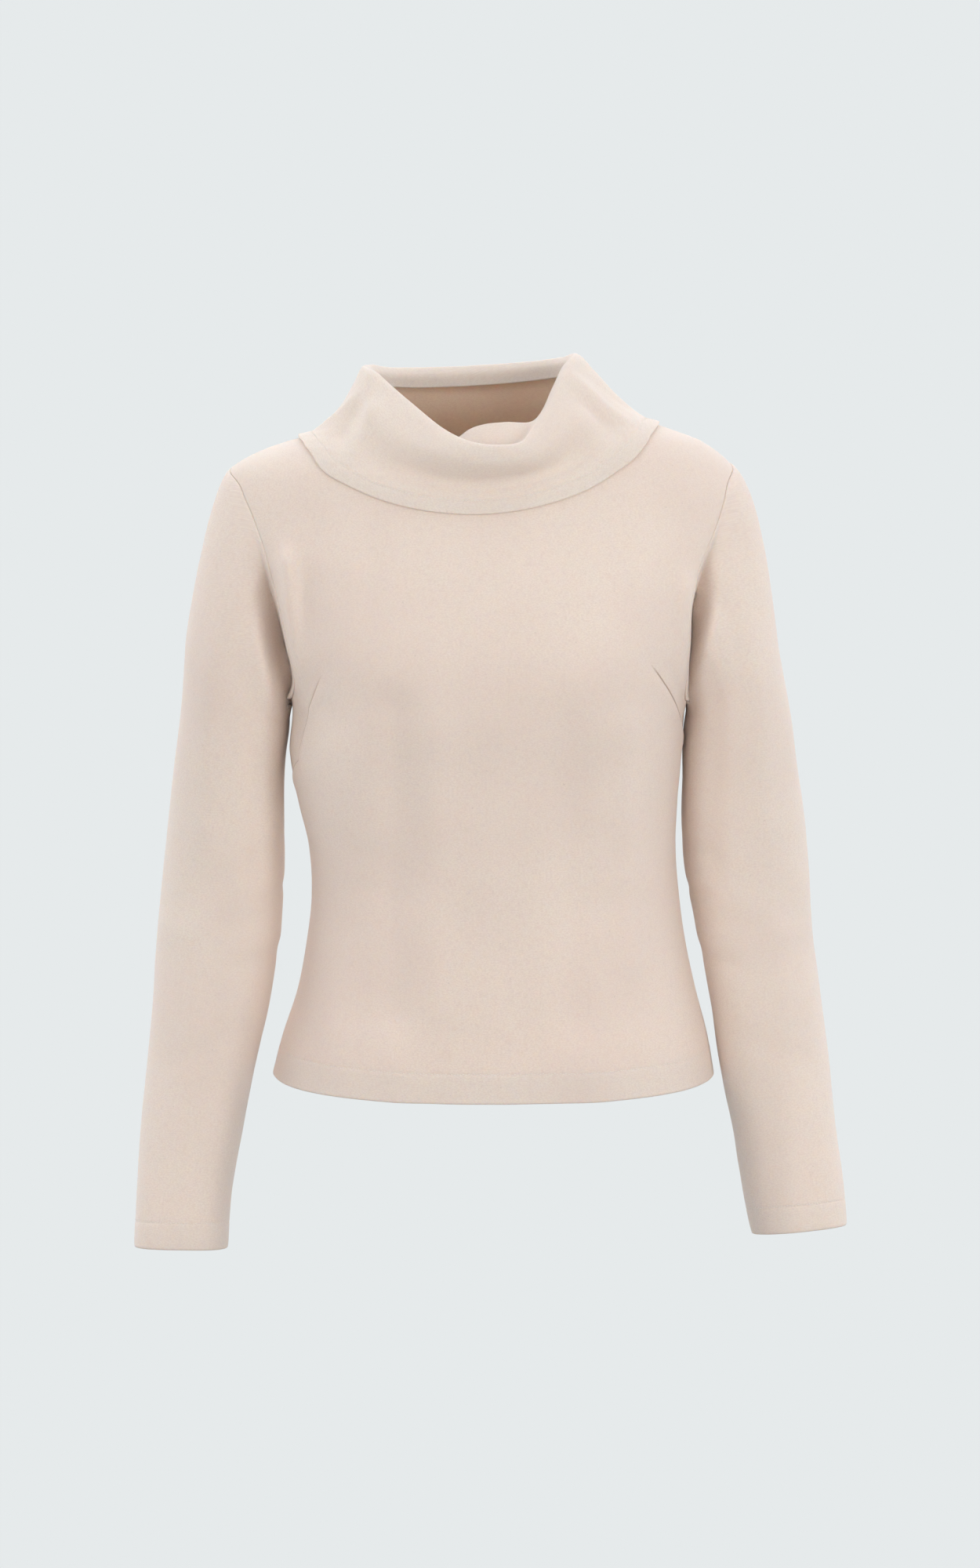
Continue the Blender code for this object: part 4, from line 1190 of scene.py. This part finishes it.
def cloth_object(name, mesh, material, thickness, node):
    """A finished cloth piece: its thickness added inwards, riding on the body, in place of its
    node of the frame."""
    mesh.materials.append(material)
    piece = bpy.data.objects.new(name, mesh)
    bpy.context.scene.collection.objects.link(piece)
    wall = piece.modifiers.new("thickness", "SOLIDIFY")
    wall.thickness = thickness * MM
    wall.offset = -1.0
    wall.use_even_offset = False
    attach(piece, BODY)
    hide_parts(node)
    return piece


def stitch_object(name, thread, closed, sewing, zigzag, material):
    """A row of stitches along a curve on the cloth: each a grain of thread, pointed at both ends
    and round between, set at equal steps along the curve and slightly to either side of it."""
    curve, facing = thread
    if closed:
        curve = np.concatenate((curve, curve[:1]))
        facing = np.concatenate((facing, facing[:1]))
    lengths = np.linalg.norm(np.diff(curve, axis=0), axis=1)
    walked = np.concatenate(((0.0,), np.cumsum(lengths)))
    count = int(walked[-1] / (sewing.pitch / MM))
    at = (np.arange(count) + 0.5) / count * walked[-1]

    def along(values, places):
        return np.stack([np.interp(places, walked, values[:, axis]) for axis in range(3)], axis=-1)

    way = unit(along(curve, at + WAY_REACH) - along(curve, at - WAY_REACH))
    out = unit(along(facing, at))
    beside = unit(np.cross(out, way))
    rng = np.random.default_rng(5)
    wobble = rng.uniform(-STITCH_WOBBLE, STITCH_WOBBLE, count)
    side = np.where(np.arange(count) % 2 == 0, 1.0, -1.0) * zigzag + wobble
    middle = along(curve, at) + beside * side[:, None] + out * STITCH_LIFT
    lean = (rng.uniform(-STITCH_LEAN, STITCH_LEAN, count)[:, None]
            + 0.5 * zigzag * np.sign(side)[:, None])
    way = unit(way + beside * lean)
    beside = unit(np.cross(out, way))
    half = sewing.stitch_length / MM / 2
    radius = sewing.thread / MM / 2
    turn = np.arange(STITCH_SIDES) / STITCH_SIDES * 2 * math.pi
    ring = (np.cos(turn)[:, None, None] * beside
            + np.sin(turn)[:, None, None] * out * STITCH_FLAT) * radius
    grain = np.concatenate(((middle - way * half)[None], middle - way * half * 0.5 + ring,
                            middle + way * half * 0.5 + ring, (middle + way * half)[None]))
    points = len(grain)
    near = np.arange(STITCH_SIDES)
    after = (near + 1) % STITCH_SIDES
    first = 1 + near, 1 + after
    second = 1 + STITCH_SIDES + near, 1 + STITCH_SIDES + after
    fans = np.concatenate((np.stack((0 * near, first[0], first[1]), axis=-1),
                           np.stack((0 * near + points - 1, second[1], second[0]), axis=-1)))
    bands = np.stack((first[0], second[0], second[1], first[1]), axis=-1)
    base = np.arange(count)[:, None, None] * points
    triangles = (fans[None] + base).reshape(-1, 3).tolist()
    squares = (bands[None] + base).reshape(-1, 4).tolist()
    mesh = bpy.data.meshes.new(name)
    mesh.from_pydata((grain.swapaxes(0, 1).reshape(-1, 3) * MM).tolist(), [], triangles + squares)
    mesh.shade_smooth()
    mesh.materials.append(material)
    piece = bpy.data.objects.new(name, mesh)
    bpy.context.scene.collection.objects.link(piece)
    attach(piece, BODY)
    return piece


def sewn_piece(context, node, edge, rows, thread, closed, flip, thickness, zigzag, marks=()):
    """A cloth piece in place of its node, and the stitches along its sewn edge."""
    cloth = context.scene.blouse_cloth
    sewing = context.scene.blouse_sewing
    mesh = grid_mesh(node + "_cloth", rows, closed, flip, marks)
    material = cloth_material(node + "_jersey", cloth, bool(marks))
    piece = cloth_object(node + "_cloth", mesh, material, thickness, node)
    stitches = stitch_object(node + edge, thread, closed, sewing, zigzag,
                             thread_material(node + "_thread", sewing.thread_colour))
    return piece, stitches


class BlouseCloth(bpy.types.PropertyGroup):
    """Colours and thickness of the cloth."""
    colour: bpy.props.FloatVectorProperty(
        name="Colour", description="Ground colour of the jersey", subtype="COLOR", size=3,
        min=0.0, max=1.0, default=(0.845, 0.728, 0.648))
    heather_colour: bpy.props.FloatVectorProperty(
        name="Heather", description="Colour of the deeper fibres", subtype="COLOR", size=3,
        min=0.0, max=1.0, default=(0.75, 0.622, 0.56))
    pale_colour: bpy.props.FloatVectorProperty(
        name="Pale fibres", description="Colour of the paler fibres", subtype="COLOR", size=3,
        min=0.0, max=1.0, default=(0.90, 0.80, 0.72))
    speck_colour: bpy.props.FloatVectorProperty(
        name="Specks", description="Colour of the few dark specks", subtype="COLOR", size=3,
        min=0.0, max=1.0, default=(0.50, 0.42, 0.38))
    # Colour of the painted shade along each dart's crease.
    dart_shade_colour: bpy.props.FloatVectorProperty(
        name="Seam", description="Colour in the sewn line of a dart", subtype="COLOR", size=3,
        min=0.0, max=1.0, default=(0.36, 0.24, 0.17))
    heather: bpy.props.FloatProperty(
        name="Heather share", description="How strongly the mixed fibres show", subtype="FACTOR",
        min=0.0, max=1.0, default=0.8)
    nap: bpy.props.FloatProperty(
        name="Nap", description="How much light the short nap catches at its edges",
        subtype="FACTOR", min=0.0, max=1.0, default=0.45)
    glow: bpy.props.FloatProperty(
        name="Glow", description="How much light passes through the cloth", subtype="FACTOR",
        min=0.0, max=1.0, default=0.5)
    thickness: bpy.props.FloatProperty(
        name="Thickness", description="Thickness of one layer of jersey", unit="LENGTH",
        min=0.0005, max=0.002, default=0.0013)


class BlouseSewing(bpy.types.PropertyGroup):
    """Sizes of the visible stitches."""
    pitch: bpy.props.FloatProperty(
        name="Pitch", description="Distance from one stitch to the next", unit="LENGTH",
        min=0.001, max=0.006, default=0.0022)
    stitch_length: bpy.props.FloatProperty(
        name="Stitch length", description="Length of thread that shows at each stitch",
        unit="LENGTH", min=0.0005, max=0.005, default=0.0014)
    thread: bpy.props.FloatProperty(
        name="Thread", description="Thickness of the sewing thread", unit="LENGTH",
        min=0.0001, max=0.001, default=0.00045)
    thread_colour: bpy.props.FloatVectorProperty(
        name="Thread colour", description="Colour of the sewing thread", subtype="COLOR", size=3,
        min=0.0, max=1.0, default=(0.93, 0.86, 0.78))


class BlouseStage(bpy.types.PropertyGroup):
    """Backdrop and lights."""
    backdrop: bpy.props.FloatVectorProperty(
        name="Backdrop", description="Colour of the backdrop and floor", subtype="COLOR", size=3,
        min=0.0, max=1.0, default=(0.791, 0.823, 0.831))
    front_glow: bpy.props.FloatProperty(
        name="Front glow", description="Even light from the front half of the room",
        min=0.0, max=3.0, default=0.24)
    back_glow: bpy.props.FloatProperty(
        name="Back glow", description="Even light from the back half of the room",
        min=0.0, max=3.0, default=0.88)
    key: bpy.props.FloatProperty(
        name="Key light", description="Power of the large soft light at the left", unit="POWER",
        min=0.0, max=500.0, default=23.5)
    fill: bpy.props.FloatProperty(
        name="Fill light", description="Power of the soft light at the right", unit="POWER",
        min=0.0, max=500.0, default=33.0)
    rim: bpy.props.FloatProperty(
        name="Side lights", description="Power that the left light has half of and the right 0.3",
        unit="POWER", min=0.0, max=500.0, default=9.0)


class BLOUSE_OT_front(bpy.types.Operator):
    """Make the front panel with its darts, hem and hem stitches"""
    bl_idname = "blouse.front"
    bl_label = "Front"

    def execute(self, context):
        rows, marks, thread = panel_cloth("front")
        # Each point's distance from a dart, and how strongly the painted shade of that dart's
        # crease shows.
        marks = tuple(zip(("dart_offset", "dart_shade_amount"), marks))
        thickness = context.scene.blouse_cloth.thickness / MM
        piece, stitches = sewn_piece(context, "front", "_hem_stitches", rows, thread, False, False,
                                     thickness, HEM_ZIGZAG, marks)
        return {"FINISHED"}


class BLOUSE_OT_back(bpy.types.Operator):
    """Make the back panel with its hem and hem stitches"""
    bl_idname = "blouse.back"
    bl_label = "Back"

    def execute(self, context):
        rows, _, thread = panel_cloth("back")
        thickness = context.scene.blouse_cloth.thickness / MM
        piece, stitches = sewn_piece(context, "back", "_hem_stitches", rows, thread, False, True,
                                     thickness, HEM_ZIGZAG)
        return {"FINISHED"}


class BLOUSE_OT_sleeves(bpy.types.Operator):
    """Make both sleeves with their turned cuffs and cuff stitches"""
    bl_idname = "blouse.sleeves"
    bl_label = "Sleeves"

    def execute(self, context):
        thickness = context.scene.blouse_cloth.thickness / MM
        for node, side in (("sleeve_left", "right"), ("sleeve_right", "left")):
            rows, thread = sleeve_cloth(side)
            piece, stitches = sewn_piece(context, node, "_cuff_stitches", rows, thread, True,
                                         side == "right", thickness, HEM_ZIGZAG)
        return {"FINISHED"}


class BLOUSE_OT_collar(bpy.types.Operator):
    """Make the draped collar with its topstitching"""
    bl_idname = "blouse.collar"
    bl_label = "Collar"

    def execute(self, context):
        rows, thread = collar_cloth()
        piece, stitches = sewn_piece(context, "collar", "_stitches", rows, thread, True, False,
                                     COLLAR_THICKNESS, 0.0)
        return {"FINISHED"}


def stage_material(name, colour):
    """Backdrop that shows one flat tone, whatever light falls on it."""
    material = bpy.data.materials.new(name)
    material.use_nodes = True
    tree = material.node_tree
    shader = tree.nodes["Principled BSDF"]
    shader.inputs["Base Color"].default_value = (0.0, 0.0, 0.0, 1.0)
    shader.inputs["Specular IOR Level"].default_value = 0.0
    shader.inputs["Roughness"].default_value = 1.0
    shader.inputs["Emission Color"].default_value = tuple(colour) + (1.0,)
    shader.inputs["Emission Strength"].default_value = 1.0
    return material


def area_light(name, place, target, size, power, colour):
    """A square light at a place that looks at a target."""
    light = bpy.data.lights.new(name, "AREA")
    light.shape = "SQUARE"
    light.size = size
    light.energy = power
    light.color = colour
    holder = bpy.data.objects.new(name, light)
    bpy.context.scene.collection.objects.link(holder)
    away = np.array(place) - np.array(target)
    flat = math.hypot(away[0], away[1])
    holder.location = place
    holder.rotation_euler = (math.atan2(flat, away[2]), 0.0, math.atan2(away[0], -away[1]))


def pale_room(stage):
    """The room: the camera sees one even tone, and the cloth is lit more from behind than from
    the front and a little more from above."""
    world = bpy.data.worlds.new("pale_room")
    world.use_nodes = True
    tree = world.node_tree
    seen = tree.nodes["Background"]
    seen.inputs["Color"].default_value = tuple(stage.backdrop) + (1.0,)
    seen.inputs["Strength"].default_value = 1.0
    way = tree.nodes.new("ShaderNodeTexCoord")
    axes = tree.nodes.new("ShaderNodeSeparateXYZ")
    tree.links.new(way.outputs["Generated"], axes.inputs[0])
    across = stretch(tree, axes.outputs["Y"], *ROOM_DEPTH, stage.front_glow, stage.back_glow)
    above = stretch(tree, axes.outputs["Z"], *ROOM_HEIGHT)
    glow = new_node(tree, "ShaderNodeBackground", Color=ROOM_COLOUR)
    tree.links.new(math_node(tree, "MULTIPLY", across, above), glow.inputs["Strength"])
    path = tree.nodes.new("ShaderNodeLightPath")
    mix = tree.nodes.new("ShaderNodeMixShader")
    tree.links.new(path.outputs["Is Camera Ray"], mix.inputs[0])
    tree.links.new(glow.outputs[0], mix.inputs[1])
    tree.links.new(seen.outputs[0], mix.inputs[2])
    tree.links.new(mix.outputs[0], tree.nodes["World Output"].inputs["Surface"])
    return world


class BLOUSE_OT_stage(bpy.types.Operator):
    """Make the floor, the even pale surroundings, the lights and the camera"""
    bl_idname = "blouse.stage"
    bl_label = "Stage"

    def execute(self, context):
        scene = context.scene
        stage = scene.blouse_stage
        turns = np.arange(FLOOR_SIDES) / FLOOR_SIDES * 2 * math.pi
        rim = np.stack((FLOOR_RADIUS * np.cos(turns), FLOOR_RADIUS * np.sin(turns),
                        np.full(FLOOR_SIDES, FLOOR_HEIGHT)), axis=-1)
        mesh = bpy.data.meshes.new("floor")
        mesh.from_pydata(rim.tolist(), [], [list(range(FLOOR_SIDES))])
        mesh.materials.append(stage_material("floor_tone", stage.backdrop))
        floor = bpy.data.objects.new("floor", mesh)
        scene.collection.objects.link(floor)
        floor.visible_diffuse = False
        floor.visible_glossy = False
        scene.world = pale_room(stage)
        for name, place, target, size, power, share, colour in LIGHTS[1:]:
            area_light(name, place, target, size, getattr(stage, power) * share, colour)
        camera = bpy.data.cameras.new("camera")
        camera.sensor_width = CAMERA_SENSOR
        camera.lens = CAMERA_LENS
        holder = bpy.data.objects.new("camera", camera)
        scene.collection.objects.link(holder)
        holder.location = CAMERA_PLACE
        holder.rotation_euler = (math.radians(90.0 - CAMERA_DOWN), 0.0, 0.0)
        scene.camera = holder
        scene.view_settings.view_transform = "Standard"
        return {"FINISHED"}


class BLOUSE_PT_panel(bpy.types.Panel):
    """Panel that lists the blouse's sizes, colours and makers"""
    bl_idname = "BLOUSE_PT_panel"
    bl_label = "Blouse"
    bl_space_type = "VIEW_3D"
    bl_region_type = "UI"
    bl_category = "Blouse"

    def draw(self, context):
        for group in GROUPS:
            values = getattr(context.scene, group)
            for name in values.__annotations__:
                self.layout.prop(values, name)
        for operator in OPERATORS:
            self.layout.operator(operator.bl_idname)


GROUPS = {"blouse_cloth": BlouseCloth, "blouse_sewing": BlouseSewing, "blouse_stage": BlouseStage}
OPERATORS = (BLOUSE_OT_front, BLOUSE_OT_back, BLOUSE_OT_sleeves, BLOUSE_OT_collar, BLOUSE_OT_stage)


def register():
    """Makes the groups of values, the operators and the panel known."""
    for name, group in GROUPS.items():
        bpy.utils.register_class(group)
        setattr(bpy.types.Scene, name, bpy.props.PointerProperty(type=group))
    for operator in OPERATORS:
        bpy.utils.register_class(operator)
    bpy.utils.register_class(BLOUSE_PT_panel)


def unregister():
    """Takes them away again, last first."""
    bpy.utils.unregister_class(BLOUSE_PT_panel)
    for operator in reversed(OPERATORS):
        bpy.utils.unregister_class(operator)
    for name, group in reversed(GROUPS.items()):
        delattr(bpy.types.Scene, name)
        bpy.utils.unregister_class(group)


def main():
    """Makes every piece and the stage in order."""
    register()
    bpy.ops.blouse.front()
    bpy.ops.blouse.back()
    bpy.ops.blouse.sleeves()
    bpy.ops.blouse.collar()
    bpy.ops.blouse.stage()


if __name__ == "__main__":
    main()
